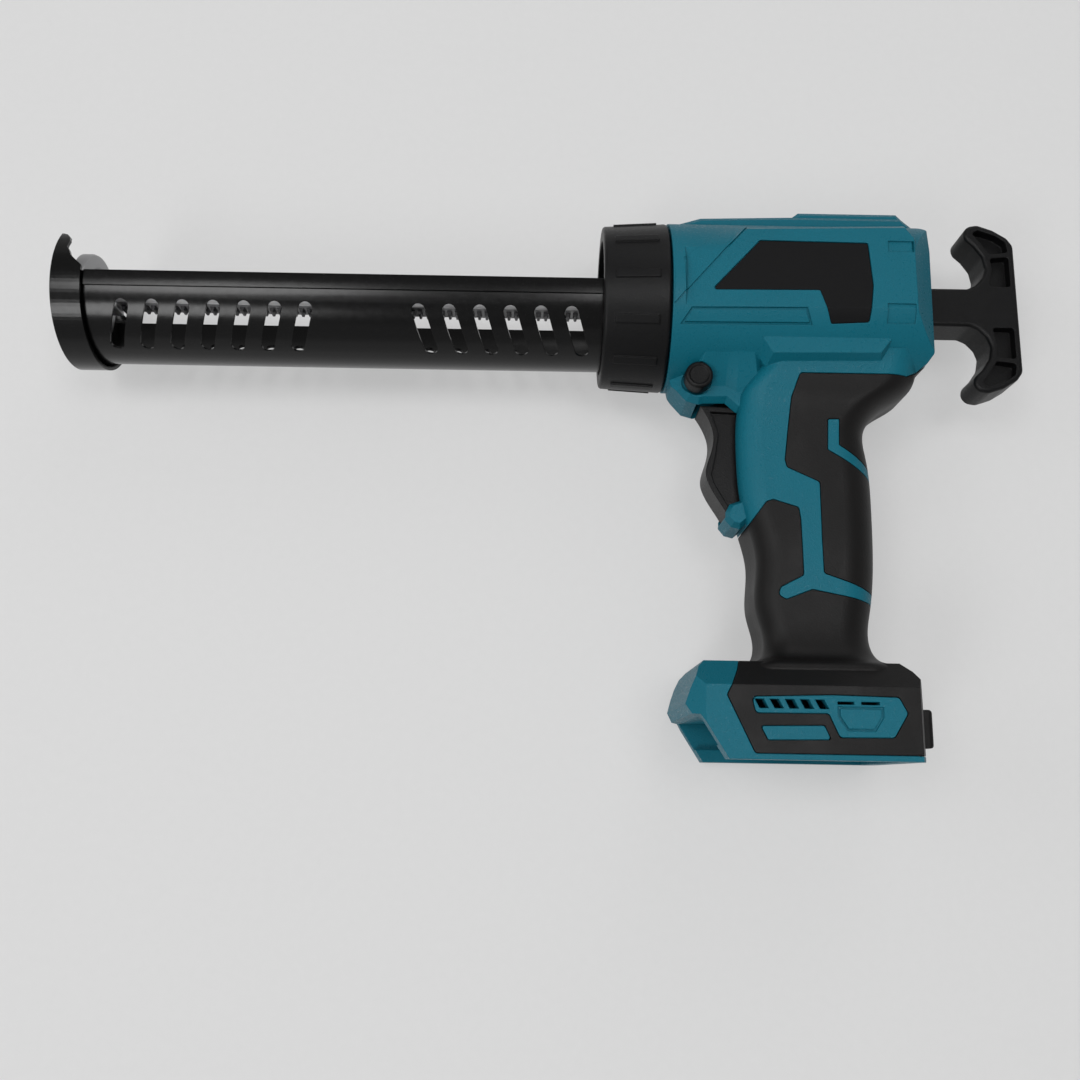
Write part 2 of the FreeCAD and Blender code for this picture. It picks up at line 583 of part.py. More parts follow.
def ring_groove(outline, depth_form):
    """A narrow groove along an outline, cut into the surface down to a shrunk form."""
    ring = through(offset(outline, GROOVE_WIDTH / 2)).cut(through(offset(outline, -GROOVE_WIDTH / 2)))
    return ring.cut(depth_form)


def screw_places():
    return head_points(HEAD_SCREW_SHARES) + grip_points(GRIP_SCREW_SHARES) + base_points(BASE_SCREW_SHARES)


def counterbores():
    return [rod_z(SCREW_HEAD_RADIUS + GAP, -FAR, -SCREW_SEAT, x, y) for x, y in screw_places()]


def gear_centres():
    """Drive axle, idler and motor axle in the side view. The idler touches both pitch circles."""
    drive = V(PINION_X, PINION_Y, 0)
    motor = V(MOTOR_X, MOTOR_Y, 0)
    reach = MODULE * (FINAL_TEETH + IDLER_TEETH) / 2
    rest = MODULE * (IDLER_TEETH + OUTPUT_TEETH) / 2
    line = motor - drive
    span = line.Length
    along = (reach ** 2 - rest ** 2 + span ** 2) / (2 * span)
    line.normalize()
    aside = V(-line.y, line.x, 0) * math.sqrt(reach ** 2 - along ** 2)
    return drive, drive + line * along + aside, motor


DRIVE, IDLER, MOTOR = gear_centres()


def plate_places(shares):
    return points(shares, MOTOR_OFFSET, MOTOR_OFFSET, PINION_X, PINION_Y)


def casing_halves():
    outer = case_form().multiFuse(trim_forms())
    seat = case_form(SKIN)
    upper, lower = skin_regions(SEAM)
    body = outer.cut(upper.cut(seat)).cut(lower.cut(seat))

    room = head_form(WALL)
    ledge = offset(head_points(LEDGE_SHARES), LEDGE_SPREAD)
    room = room.fuse(slab(ledge, LEDGE_HALF_WIDTH, LEDGE_RISE, LEDGE_SPREAD, WALL))
    room = room.fuse(grip_form(SKIN + WALL))
    roof = box(-FAR, FAR, CHANNEL_TOP + ROOF, 0, -FAR, FAR)
    room = room.fuse(base_form(SKIN + WALL).common(roof))
    trigger_room = points(TRIGGER_ROOM_SHARES, TRIGGER_DEPTH, -TRIGGER_LENGTH, TRIGGER_FRONT, TRIGGER_TOP)
    side = TRIGGER_HALF_WIDTH + SLOT_SIDE_GAP
    room = room.fuse(prism(trigger_room, -side, side))
    room = room.fuse(rod_x(NECK_BORE, -NECK_LENGTH - OVERRUN, 0))
    body = body.cut(room)

    inside = seat.cut(base_form(WALL).common(box(-FAR, FAR, -FAR, CHANNEL_TOP + ROOF, -FAR, FAR)))
    bosses = [rod_z(BOSS_RADIUS, -FAR, FAR, x, y) for x, y in screw_places()]
    for x, y in plate_places(SHORT_PILLAR_SHARES):
        bosses.append(rod_z(BOSS_RADIUS, OUTER_PLATE_Z + PLATE, FAR, x, y))
    for x, y in plate_places(LONG_PILLAR_SHARES):
        bosses.append(rod_z(BOSS_RADIUS, -FAR, RIGHT_PLATE_Z - PLATE, x, y))
    pin_boss = rod_z(TRIGGER_BOSS, side, FAR, TRIGGER_PIN_X, TRIGGER_PIN_Y)
    shelves = [box(x, x + SHELF_LENGTH, BOARD_Y - SHELF, BOARD_Y, BOARD_HALF_WIDTH - SHELF, FAR)
               for x in (BOARD_X, BOARD_X + BOARD_LENGTH - SHELF_LENGTH)]
    ribs = [box(SWITCH_X, SWITCH_X + SWITCH_LENGTH, y, y + RIB, SWITCH_HALF_WIDTH, FAR)
            for y in SWITCH_RIB_PLACES]
    for solid in [pin_boss] + shelves + ribs:
        bosses += both_sides(solid)
    body = body.multiFuse([solid.common(inside) for solid in bosses])

    cuts = counterbores()
    shank = SCREW_SHANK + SCREW_PILOT_GAP
    tip = SCREW_LENGTH - SCREW_SEAT + GAP
    cuts += [rod_z(shank, -SCREW_SEAT - OVERRUN, tip, x, y) for x, y in screw_places()]
    cuts.append(rod_z(TRIGGER_PIN_RADIUS + FIT, -TRIGGER_PIN_HALF - GAP, TRIGGER_PIN_HALF + GAP,
                      TRIGGER_PIN_X, TRIGGER_PIN_Y))
    cuts.append(rod_z(BUTTON_STEM + FIT, -FAR, FAR, BUTTON_X, BUTTON_Y))
    cuts.append(rod_z(BUTTON_RADIUS + GAP, BUTTON_SHOULDER - BUTTON_TRAVEL - GAP, FAR, BUTTON_X, BUTTON_Y))
    guide = GUIDE_HALF
    cuts.append(box(-OVERRUN, GUIDE_LENGTH, -guide, guide, -guide, guide))
    cuts.append(box(HEAD_REAR - GUIDE_LENGTH, HEAD_REAR + OVERRUN, -guide, guide, -guide, guide))
    cuts.append(box(BASE_FRONT - OVERRUN, CHANNEL_REAR, BASE_BOTTOM + RAIL_HEIGHT, CHANNEL_TOP,
                    -CHANNEL_HALF_WIDTH, CHANNEL_HALF_WIDTH))
    cuts.append(box(BASE_FRONT - OVERRUN, CHANNEL_REAR, BASE_BOTTOM - OVERRUN, CHANNEL_TOP,
                    -RAIL_HALF_WIDTH, RAIL_HALF_WIDTH))
    cuts.append(through(head_points(LABEL_SHARES), LABEL_CORNER).cut(head_form(LABEL_DEPTH)))
    depth_form = head_form(GROOVE_DEPTH)
    cuts.append(ring_groove(head_points(GROOVE_SHARES), depth_form))
    cuts += [through(head_points(outline)).cut(depth_form) for outline in STEP_SHARES]
    vent_wall = BASE_HALF_WIDTH - SKIN - WALL - OVERRUN
    for i in range(VENT_COUNT):
        slanted = base_points([(a + i * VENT_PITCH_SHARE, b) for a, b in VENT_SHARES])
        cuts += both_sides(prism(slanted, vent_wall, FAR))
    for outline in THIN_VENT_SHARES:
        cuts += both_sides(prism(base_points(outline), vent_wall, FAR))
    cuts.append(ring_groove(base_points(BADGE_SHARES), base_form(GROOVE_DEPTH)))
    for cut in cuts:
        body = body.cut(cut)
    return half(body, 1), half(body, -1)


def skins():
    outer = case_form()
    seat = case_form(SKIN)
    pieces = {}
    bumper_seat = bumper_block(SEAM)
    for name, region in zip(("upper_grip_skin", "lower_grip_skin"), skin_regions(0)):
        patch = outer.common(region).cut(seat).cut(bumper_seat)
        channel = box(-FAR, CHANNEL_REAR, -FAR, CHANNEL_TOP, -RAIL_HALF_WIDTH, RAIL_HALF_WIDTH)
        patch = patch.cut(channel)
        pieces[name + "_left"] = half(patch, 1)
        right = half(patch, -1)
        for bore in counterbores():
            right = right.cut(bore)
        pieces[name + "_right"] = right
    return pieces


def label_plates():
    outline = offset(head_points(LABEL_SHARES), -LABEL_INSET)
    film = head_form(LABEL_INSET).cut(head_form(LABEL_DEPTH)).common(through(outline, LABEL_CORNER))
    return half(film, 1), half(film, -1)


def bumper_block(grow):
    rear = BASE_FRONT + BASE_LENGTH
    low, high = [BASE_BOTTOM + BASE_HEIGHT * share for share in BUMPER_SHARES]
    wide = BUMPER_HALF_WIDTH + grow
    return box(rear - BUMPER_SEAT, rear + BUMPER_DEPTH, low - grow, high + grow, -wide, wide)


def rear_bumper():
    block = bumper_block(0)
    rear = block.BoundBox.XMax
    edges = [e for e in block.Edges if all(v.X > rear - BUMPER_CORNER for v in e.Vertexes)]
    return block.makeFillet(BUMPER_CORNER, edges)


# Barrel group
def barrel():
    pipe = rod_x(BARREL_RADIUS, BARREL_FRONT, BARREL_REAR)
    pipe = pipe.cut(rod_x(BARREL_RADIUS - SHEET, BARREL_FRONT - OVERRUN, BARREL_REAR + OVERRUN))
    hem_front = CAP_FRONT + CAP_FLANGE + GAP
    hem = rod_x(BARREL_RADIUS + HEM_SHEET, hem_front, BARREL_REAR)
    hem = hem.cut(rod_x(BARREL_RADIUS, hem_front - OVERRUN, BARREL_REAR + OVERRUN))
    hem = hem.common(box(-FAR - FAR, FAR, BARREL_EDGE - HEM_HEIGHT, BARREL_EDGE, -FAR, FAR))
    pipe = pipe.common(box(-FAR - FAR, FAR, -FAR, BARREL_EDGE, -FAR, FAR))
    trough = pipe.fuse(hem)
    groups = ((FRONT_SLOTS_SHARE, FRONT_SLOTS, -SLOT_LEAN), (REAR_SLOTS_SHARE, REAR_SLOTS, SLOT_LEAN))
    for middle, count, lean in groups:
        for i in range(count):
            x = BARREL_FRONT + BARREL_LENGTH * middle + (i - (count - 1) / 2) * SLOT_PITCH
            for cutter in both_sides(slot_cutter(x, lean)):
                trough = trough.cut(cutter)
    return trough


def slot_cutter(x, lean):
    """A round-ended slot square to the barrel's wall, leaning along the barrel."""
    wide, long = SLOT_WIDTH / 2, SLOT_LENGTH / 2 - SLOT_WIDTH / 2
    edges = [Part.LineSegment(V(-wide, -long, 0), V(-wide, long, 0)).toShape(),
             Part.Arc(V(-wide, long, 0), V(0, long + wide, 0), V(wide, long, 0)).toShape(),
             Part.LineSegment(V(wide, long, 0), V(wide, -long, 0)).toShape(),
             Part.Arc(V(wide, -long, 0), V(0, -long - wide, 0), V(-wide, -long, 0)).toShape()]
    slot = prism_of(Part.Wire(edges), BARREL_RADIUS / 2, BARREL_RADIUS + OVERRUN)
    slot.rotate(V(0, 0, 0), V(0, 0, 1), lean)
    slot.rotate(V(0, 0, 0), V(1, 0, 0), SLOT_ANGLE)
    slot.translate(V(x, 0, 0))
    return slot


def barrel_ring():
    rear = BARREL_REAR + RING_SHEET
    bore = rod_x(RING_BORE, BARREL_REAR - OVERRUN, rear + OVERRUN)
    return rod_x(NECK_RADIUS, BARREL_REAR, rear).cut(bore)


def front_cap():
    plate = rod_x(CAP_RADIUS, CAP_FRONT, BARREL_FRONT)
    rear = CAP_FRONT + CAP_FLANGE
    flange = rod_x(CAP_RADIUS, CAP_FRONT, rear)
    flange = flange.cut(rod_x(CAP_RADIUS - CAP_SHEET, BARREL_FRONT, rear + OVERRUN))
    flange = flange.cut(through(points(HORN_SHARES, CAP_FLANGE, CAP_RADIUS, CAP_FRONT)))
    slot = box(CAP_FRONT - OVERRUN, rear + OVERRUN, 0, FAR, -NOZZLE_HALF_WIDTH, NOZZLE_HALF_WIDTH)
    slot = slot.fuse(rod_x(NOZZLE_HALF_WIDTH, CAP_FRONT - OVERRUN, BARREL_FRONT + OVERRUN))
    return plate.fuse(flange).cut(slot).removeSplitter()


def collar():
    front = -COLLAR_BACK_GAP - COLLAR_LENGTH
    axis = V(1, 0, 0)
    place = V(front, 0, 0)
    cone = Part.makeCone(COLLAR_FRONT_RADIUS, COLLAR_REAR_RADIUS, COLLAR_LENGTH, place, axis)
    ends = [e for e in cone.Edges if e.Closed]
    cone = cone.makeFillet(COLLAR_EDGE, ends)
    shell = Part.makeCone(COLLAR_FRONT_RADIUS + BAR_RISE, COLLAR_REAR_RADIUS + BAR_RISE, COLLAR_LENGTH,
                          place, axis)
    margin = (COLLAR_LENGTH - BAR_LENGTH) / 2
    wide = COLLAR_REAR_RADIUS * math.radians(BAR_ANGLE) / 2
    bars = []
    for i in range(COLLAR_BARS):
        bar = box(front + margin, front + margin + BAR_LENGTH, NECK_RADIUS + FIT, FAR, -wide, wide)
        bar = bar.common(shell)
        bar.rotate(V(0, 0, 0), axis, 4 * QUARTER * i / COLLAR_BARS)
        bars.append(bar)
    ring = cone.multiFuse(bars)
    bore = rod_x(NECK_RADIUS + FIT, front + COLLAR_LIP, OVERRUN)
    mouth = rod_x(BARREL_RADIUS + HEM_SHEET + GAP, front - OVERRUN, front + COLLAR_LIP + OVERRUN)
    return ring.cut(bore).cut(mouth)


# Plunger group
def rack_outline():
    """Toothed lower edge of the bar. A gap stands over the pinion's axle at rest."""
    pitch = math.pi * MODULE
    slope = math.tan(math.radians(PRESSURE_ANGLE))
    tip = -ROD_HEIGHT / 2
    root = tip + MODULE * (ADDENDUM_SHARE + DEDENDUM_SHARE)
    tip_half = (pitch - BACKLASH) / 4 - MODULE * ADDENDUM_SHARE * slope
    root_half = tip_half + (root - tip) * slope
    first = math.ceil((TOOTH_START - PINION_X) / pitch)
    last = math.floor((TOOTH_END - PINION_X) / pitch)
    edge = []
    for k in range(first, last):
        x = PINION_X + (2 * k + 1) * pitch / 2
        edge += [(x - root_half, root), (x - tip_half, tip), (x + tip_half, tip), (x + root_half, root)]
    start, end = edge[0][0], edge[-1][0]
    rear = HANDLE_FRONT + ROD_IN_HANDLE
    top = ROD_HEIGHT / 2
    plain = [(end, tip), (rear, tip), (rear, top), (ROD_FRONT, top)]
    return [(ROD_FRONT, tip), (start, tip)] + edge + plain


def plunger_rod():
    bar = prism(rack_outline(), -ROD_WIDTH / 2, ROD_WIDTH / 2)
    bar = bar.cut(rod_x(SCREW_RADIUS + FIT, ROD_FRONT - OVERRUN, ROD_FRONT + DISC_SCREW_LENGTH + GAP))
    return bar.cut(handle_pin(FIT))


def pusher_disc():
    sheet = ROD_FRONT - DISC_SHEET
    front = ROD_FRONT - DISC_RIM
    dish = rod_x(DISC_RADIUS, front, ROD_FRONT)
    dish = dish.cut(rod_x(DISC_RADIUS - DISC_RIM_SHEET, front - OVERRUN, sheet))
    return dish.cut(rod_x(SCREW_RADIUS + FIT, front - OVERRUN, ROD_FRONT + OVERRUN))


def disc_screw():
    front = ROD_FRONT - DISC_SHEET
    head = rod_x(DISC_SCREW_HEAD, front - DISC_SCREW_RISE, front)
    return head.fuse(rod_x(SCREW_RADIUS, front, ROD_FRONT + DISC_SCREW_LENGTH))


def handle_pin(grow=0):
    x = HANDLE_FRONT + HANDLE_LENGTH * HANDLE_PIN_SHARE
    return rod_z(HANDLE_PIN_RADIUS + grow, -HANDLE_HALF_THICK, HANDLE_PIN_END + grow, x, 0)


def pull_handle():
    upper = points(HOOK_SHARES, HANDLE_LENGTH, HANDLE_HALF_SPAN, HANDLE_FRONT)
    stem = HANDLE_HALF_SPAN * STEM_SHARE
    outline = [(STEM_FRONT, -stem), (STEM_FRONT, stem)] + upper + [(x, -y) for x, y in reversed(upper)]
    body = prism_of(rounded(outline, HANDLE_CORNER), -HANDLE_HALF_THICK, HANDLE_HALF_THICK)
    rims = [e for e in body.Edges if all(abs(abs(v.Z) - HANDLE_HALF_THICK) < FIT for v in e.Vertexes)]
    body = body.makeFillet(HANDLE_EDGE, rims)
    for shares in HANDLE_POCKET_SHARES:
        for flip in (1, -1):
            pocket_shares = [(a, b * flip) for a, b in shares]
            pocket = points(pocket_shares, HANDLE_LENGTH, HANDLE_HALF_SPAN, HANDLE_FRONT)
            deep = HANDLE_HALF_THICK - HANDLE_POCKET
            for cutter in both_sides(prism_of(rounded(pocket, HANDLE_RIB), deep, FAR)):
                body = body.cut(cutter)
    high, wide = ROD_HEIGHT / 2 + FIT, ROD_WIDTH / 2 + FIT
    socket = box(STEM_FRONT - OVERRUN, HANDLE_FRONT + ROD_IN_HANDLE + GAP, -high, high, -wide, wide)
    return body.cut(socket).cut(handle_pin(FIT))


def rod_guide(front, flange_at):
    """A square bush round the bar, with a flange on one end."""
    half_size = GUIDE_HALF
    wide = GUIDE_HALF + GUIDE_FLANGE_RISE
    bush = box(front, front + GUIDE_LENGTH, -half_size, half_size, -half_size, half_size)
    bush = bush.fuse(box(flange_at, flange_at + GUIDE_FLANGE, -wide, wide, -wide, wide))
    high, deep = ROD_HEIGHT / 2 + ROD_PLAY, ROD_WIDTH / 2 + ROD_PLAY
    return bush.cut(box(front - FAR, front + FAR, -high, high, -deep, deep))


# Gear train
def gear(teeth, phase, low, high, centre, bore):
    """Involute spur gear: tooth centres start at phase, in radians."""
    pitch = MODULE * teeth / 2
    base = pitch * math.cos(math.radians(PRESSURE_ANGLE))
    tip = pitch + MODULE * ADDENDUM_SHARE
    root = pitch - MODULE * DEDENDUM_SHARE
    start = max(base, root)

    def roll(r):
        turn = math.sqrt(max((r / base) ** 2 - 1, 0))
        return turn - math.atan(turn)

    half_tooth = (math.pi * MODULE - BACKLASH) / (4 * pitch) + roll(pitch)
    flank = [start + (tip - start) * i / FLANK_STEPS for i in range(FLANK_STEPS + 1)]
    outline = []
    for k in range(teeth):
        middle = phase + 2 * math.pi * k / teeth
        rise = [(r, middle - half_tooth + roll(r)) for r in flank]
        fall = [(r, middle + half_tooth - roll(r)) for r in reversed(flank)]
        ring = [(root, rise[0][1])] + rise + fall + [(root, fall[-1][1])]
        if start == root:
            ring = rise + fall
        outline += [(centre.x + r * math.cos(a), centre.y + r * math.sin(a)) for r, a in ring]
    blank = prism(outline, low, high)
    return blank.cut(rod_z(bore, low - OVERRUN, high + OVERRUN, centre.x, centre.y))


def gear_phases():
    """Where a tooth of the final gear, idler and output pinion stands, so that teeth face gaps."""
    to_idler = math.atan2(IDLER.y - DRIVE.y, IDLER.x - DRIVE.x)
    to_motor = math.atan2(MOTOR.y - IDLER.y, MOTOR.x - IDLER.x)
    idler = to_idler + math.pi + math.pi / IDLER_TEETH
    lag = (to_motor - idler) * IDLER_TEETH / OUTPUT_TEETH
    return to_idler, idler, to_motor + math.pi + lag + math.pi / OUTPUT_TEETH


def axle(radius, low, high, centre):
    return rod_z(radius, low, high, centre.x, centre.y)


def gear_plate(shares, low, long_pillars):
    plate = prism_of(rounded(plate_places(shares), PLATE_CORNER), low, low + PLATE)
    bush = AXLE_RADIUS + FIT + BUSH_WALL + FIT
    plate = plate.cut(axle(bush, low - OVERRUN, low + PLATE + OVERRUN, DRIVE))
    if not long_pillars:
        plate = plate.cut(axle(IDLER_AXLE_RADIUS + FIT, low - OVERRUN, low + PLATE + OVERRUN, IDLER))
        plate = plate.cut(axle(OUTPUT_AXLE_RADIUS + FIT, low - OVERRUN, low + PLATE + OVERRUN, MOTOR))
    return plate


def shaft_bush(low):
    ring = axle(AXLE_RADIUS + FIT + BUSH_WALL, low, low + PLATE, DRIVE)
    return ring.cut(axle(AXLE_RADIUS + FIT, low - OVERRUN, low + PLATE + OVERRUN, DRIVE))


def pillars():
    short = [rod_z(PILLAR_RADIUS, INNER_PLATE_Z + PLATE, OUTER_PLATE_Z, x, y)
             for x, y in plate_places(SHORT_PILLAR_SHARES)]
    long = [rod_z(PILLAR_RADIUS, RIGHT_PLATE_Z, INNER_PLATE_Z, x, y)
            for x, y in plate_places(LONG_PILLAR_SHARES)]
    return Part.makeCompound(short + long)


def motor_case():
    low = INNER_PLATE_Z - GEARBOX_LENGTH - MOTOR_LENGTH
    can = axle(MOTOR_RADIUS, low, low + MOTOR_LENGTH, MOTOR)
    edges = [e for e in can.Edges if e.Closed and e.BoundBox.ZMax < low + FIT]
    return can.makeFillet(MOTOR_EDGE, edges)


def motor_end_bell():
    high = INNER_PLATE_Z - GEARBOX_LENGTH - MOTOR_LENGTH
    return axle(END_BELL_RADIUS, high - END_BELL, high, MOTOR)


def gearbox_case():
    low = INNER_PLATE_Z - GEARBOX_LENGTH
    case = axle(MOTOR_RADIUS, low, INNER_PLATE_Z, MOTOR)
    seat = INNER_PLATE_Z - OUTPUT_SEAT - GAP
    return case.cut(axle(OUTPUT_AXLE_RADIUS + FIT, seat, INNER_PLATE_Z + OVERRUN, MOTOR))


def output_pinion(phase):
    wheel = gear(OUTPUT_TEETH, phase, GEAR_PLANE, GEAR_OUTER, MOTOR, OUTPUT_AXLE_RADIUS)
    return wheel.fuse(axle(OUTPUT_AXLE_RADIUS, INNER_PLATE_Z - OUTPUT_SEAT, OUTER_PLATE_Z + PLATE, MOTOR))


# Trigger group
def trigger_points(shares):
    return points(shares, TRIGGER_DEPTH, -TRIGGER_LENGTH, TRIGGER_FRONT, TRIGGER_TOP)


def trigger():
    face = [V(x, y, 0) for x, y in trigger_points(TRIGGER_FACE_SHARES)]
    curve = Part.BSplineCurve()
    curve.interpolate(face)
    back = [V(x, y, 0) for x, y in trigger_points(TRIGGER_BACK_SHARES)]
    closing = Part.makePolygon([face[-1]] + back + [face[0]])
    outline = Part.Wire([curve.toShape()] + closing.Edges)
    body = prism_of(outline, -TRIGGER_HALF_WIDTH, TRIGGER_HALF_WIDTH)
    hollow = offset(trigger_points(TRIGGER_FACE_SHARES) + trigger_points(TRIGGER_BACK_SHARES), -TRIGGER_RIM)
    for cutter in both_sides(prism(hollow, TRIGGER_HALF_WIDTH - TRIGGER_RIM, FAR)):
        body = body.cut(cutter)
    half_width = TRIGGER_HALF_WIDTH
    arm = prism(trigger_points(TRIGGER_ARM_SHARES), -TRIGGER_BOSS_HALF, TRIGGER_BOSS_HALF)
    boss = rod_z(TRIGGER_BOSS, -half_width, half_width, TRIGGER_PIN_X, TRIGGER_PIN_Y)
    return body.fuse(arm).fuse(boss).cut(trigger_pin(FIT))


def trigger_pin(grow=0):
    radius = TRIGGER_PIN_RADIUS + grow
    return rod_z(radius, -TRIGGER_PIN_HALF, TRIGGER_PIN_HALF, TRIGGER_PIN_X, TRIGGER_PIN_Y)


def switch_body():
    low, high = PLUNGER_Y - SWITCH_HEIGHT / 2, PLUNGER_Y + SWITCH_HEIGHT / 2
    body = box(SWITCH_X, SWITCH_X + SWITCH_LENGTH, low, high, -SWITCH_HALF_WIDTH, SWITCH_HALF_WIDTH)
    deep = SWITCH_X + PLUNGER_SEAT + PLUNGER_ROOM
    return body.cut(rod_x(PLUNGER_RADIUS + FIT, SWITCH_X - OVERRUN, deep, PLUNGER_Y))


def switch_plunger():
    stem = rod_x(PLUNGER_RADIUS, PLUNGER_X, SWITCH_X + PLUNGER_SEAT, PLUNGER_Y)
    return stem.fuse(rod_x(PLUNGER_HEAD_RADIUS, PLUNGER_X, PLUNGER_X + PLUNGER_HEAD, PLUNGER_Y))


def lock_button():
    head = rod_z(BUTTON_RADIUS, BUTTON_SHOULDER, BUTTON_SHOULDER + BUTTON_HEAD, BUTTON_X, BUTTON_Y)
    rim = [e for e in head.Edges if e.Closed and e.BoundBox.ZMin > BUTTON_SHOULDER + BUTTON_EDGE]
    head = head.makeFillet(BUTTON_EDGE, rim)
    return head.fuse(rod_z(BUTTON_STEM, -CHIN_HALF_WIDTH, BUTTON_SHOULDER, BUTTON_X, BUTTON_Y))


# Board, terminals and fasteners
def control_board():
    return box(BOARD_X, BOARD_X + BOARD_LENGTH, BOARD_Y, BOARD_Y + BOARD_SHEET,
               -BOARD_HALF_WIDTH, BOARD_HALF_WIDTH)


def heat_sink():
    x, y = BOARD_X + CAN_RADIUS, BOARD_Y + BOARD_SHEET
    wide = SINK_HALF_WIDTH
    block = box(x, x + SINK_LENGTH, y, y + SINK_HEIGHT, -wide, wide)
    pitch = (2 * wide - SINK_FIN) / (SINK_FINS - 1)
    for i in range(SINK_FINS - 1):
        z = -wide + SINK_FIN + i * pitch
        rear = x + SINK_LENGTH + OVERRUN
        block = block.cut(box(x - OVERRUN, rear, y + SINK_FIN, FAR, z, z + pitch - SINK_FIN))
    return block


def capacitors():
    y = BOARD_Y + BOARD_SHEET
    x = BOARD_X + BOARD_LENGTH - CAN_RADIUS - SHELF
    places = [x, x - CAN_RADIUS * 2 - SHELF]
    cans = [Part.makeCylinder(CAN_RADIUS, CAN_LENGTH, V(at, y, 0), V(0, 1, 0)) for at in places]
    return Part.makeCompound(cans)


def terminal_block():
    return box(CHANNEL_REAR - TERMINAL_LENGTH, CHANNEL_REAR, CHANNEL_TOP - TERMINAL_HEIGHT, CHANNEL_TOP,
               -TERMINAL_HALF_WIDTH, TERMINAL_HALF_WIDTH)


def contact_blades():
    x = CHANNEL_REAR - TERMINAL_LENGTH
    y = CHANNEL_TOP - (TERMINAL_HEIGHT - BLADE_HEIGHT) / 2
    blades = []
    for share in BLADE_PLACE_SHARES:
        z = TERMINAL_HALF_WIDTH * share
        left, right = z - BLADE_SHEET / 2, z + BLADE_SHEET / 2
        blades.append(box(x - BLADE_LENGTH, x, y - BLADE_HEIGHT, y, left, right))
    return Part.makeCompound(blades)


def housing_screws():
    screws = []
    for x, y in screw_places():
        head = rod_z(SCREW_HEAD_RADIUS, -SCREW_SEAT - SCREW_HEAD, -SCREW_SEAT, x, y)
        screws.append(head.fuse(rod_z(SCREW_SHANK, -SCREW_SEAT, SCREW_LENGTH - SCREW_SEAT, x, y)).Solids[0])
    return Part.makeCompound(screws)


def save(name, shape):
    solids = shape.Solids
    shape = solids[0] if len(solids) == 1 else Part.makeCompound(solids)
    shape.translate(PLACE)
    shape.exportStep("parts/" + name + ".step")
    print(name, len(solids), shape.isValid(), round(shape.Volume))


def main():
    left, right = casing_halves()
    pieces = {"left_housing": left, "right_housing": right}
    pieces.update(skins())
    pieces["label_plate_left"], pieces["label_plate_right"] = label_plates()
    pieces["rear_bumper"] = rear_bumper()
    pieces["barrel"] = barrel()
    pieces["barrel_ring"] = barrel_ring()
    pieces["front_cap"] = front_cap()
    pieces["collar"] = collar()
    pieces["plunger_rod"] = plunger_rod()
    pieces["pusher_disc"] = pusher_disc()
    pieces["disc_screw"] = disc_screw()
    pieces["pull_handle"] = pull_handle()
    pieces["handle_pin"] = handle_pin()
    pieces["front_rod_guide"] = rod_guide(0, -GUIDE_FLANGE)
    rear_flange = HEAD_REAR - GUIDE_LENGTH - GUIDE_FLANGE
    pieces["rear_rod_guide"] = rod_guide(HEAD_REAR - GUIDE_LENGTH, rear_flange)
    final, idler, output = gear_phases()
    wide = PINION_HALF_WIDTH
    pieces["drive_pinion"] = gear(PINION_TEETH, math.pi / 2, -wide, wide, DRIVE, AXLE_RADIUS)
    pieces["final_gear"] = gear(FINAL_TEETH, final, GEAR_PLANE, GEAR_OUTER, DRIVE, AXLE_RADIUS)
    pieces["drive_axle"] = axle(AXLE_RADIUS, RIGHT_PLATE_Z - PLATE, OUTER_PLATE_Z + PLATE, DRIVE)
    pieces["idler_gear"] = gear(IDLER_TEETH, idler, GEAR_PLANE, GEAR_OUTER, IDLER, IDLER_AXLE_RADIUS + FIT)
    pieces["idler_axle"] = axle(IDLER_AXLE_RADIUS, INNER_PLATE_Z, OUTER_PLATE_Z + PLATE, IDLER)
    pieces["output_pinion"] = output_pinion(output)
    pieces["outer_gear_plate"] = gear_plate(PLATE_SHARES, OUTER_PLATE_Z, False)
    pieces["inner_gear_plate"] = gear_plate(PLATE_SHARES, INNER_PLATE_Z, False)
    pieces["right_gear_plate"] = gear_plate(RIGHT_PLATE_SHARES, RIGHT_PLATE_Z - PLATE, True)
    bushes = [shaft_bush(low) for low in (RIGHT_PLATE_Z - PLATE, INNER_PLATE_Z, OUTER_PLATE_Z)]
    pieces["axle_bushes"] = Part.makeCompound(bushes)
    pieces["frame_pillars"] = pillars()
    pieces["motor_case"] = motor_case()
    pieces["motor_end_bell"] = motor_end_bell()
    pieces["gearbox_case"] = gearbox_case()
    pieces["trigger"] = trigger()
    pieces["trigger_pin"] = trigger_pin()
    pieces["lock_button"] = lock_button()
    pieces["switch_body"] = switch_body()
    pieces["switch_plunger"] = switch_plunger()
    pieces["control_board"] = control_board()
    pieces["heat_sink"] = heat_sink()
    pieces["capacitors"] = capacitors()
    pieces["terminal_block"] = terminal_block()
    pieces["contact_blades"] = contact_blades()
    pieces["housing_screws"] = housing_screws()
    for name, shape in pieces.items():
        save(name, shape)


if __name__ == "__main__":
    main()
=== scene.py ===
import json
import math

import bpy
import bmesh
from mathutils import Matrix, Vector
from mathutils.bvhtree import BVHTree


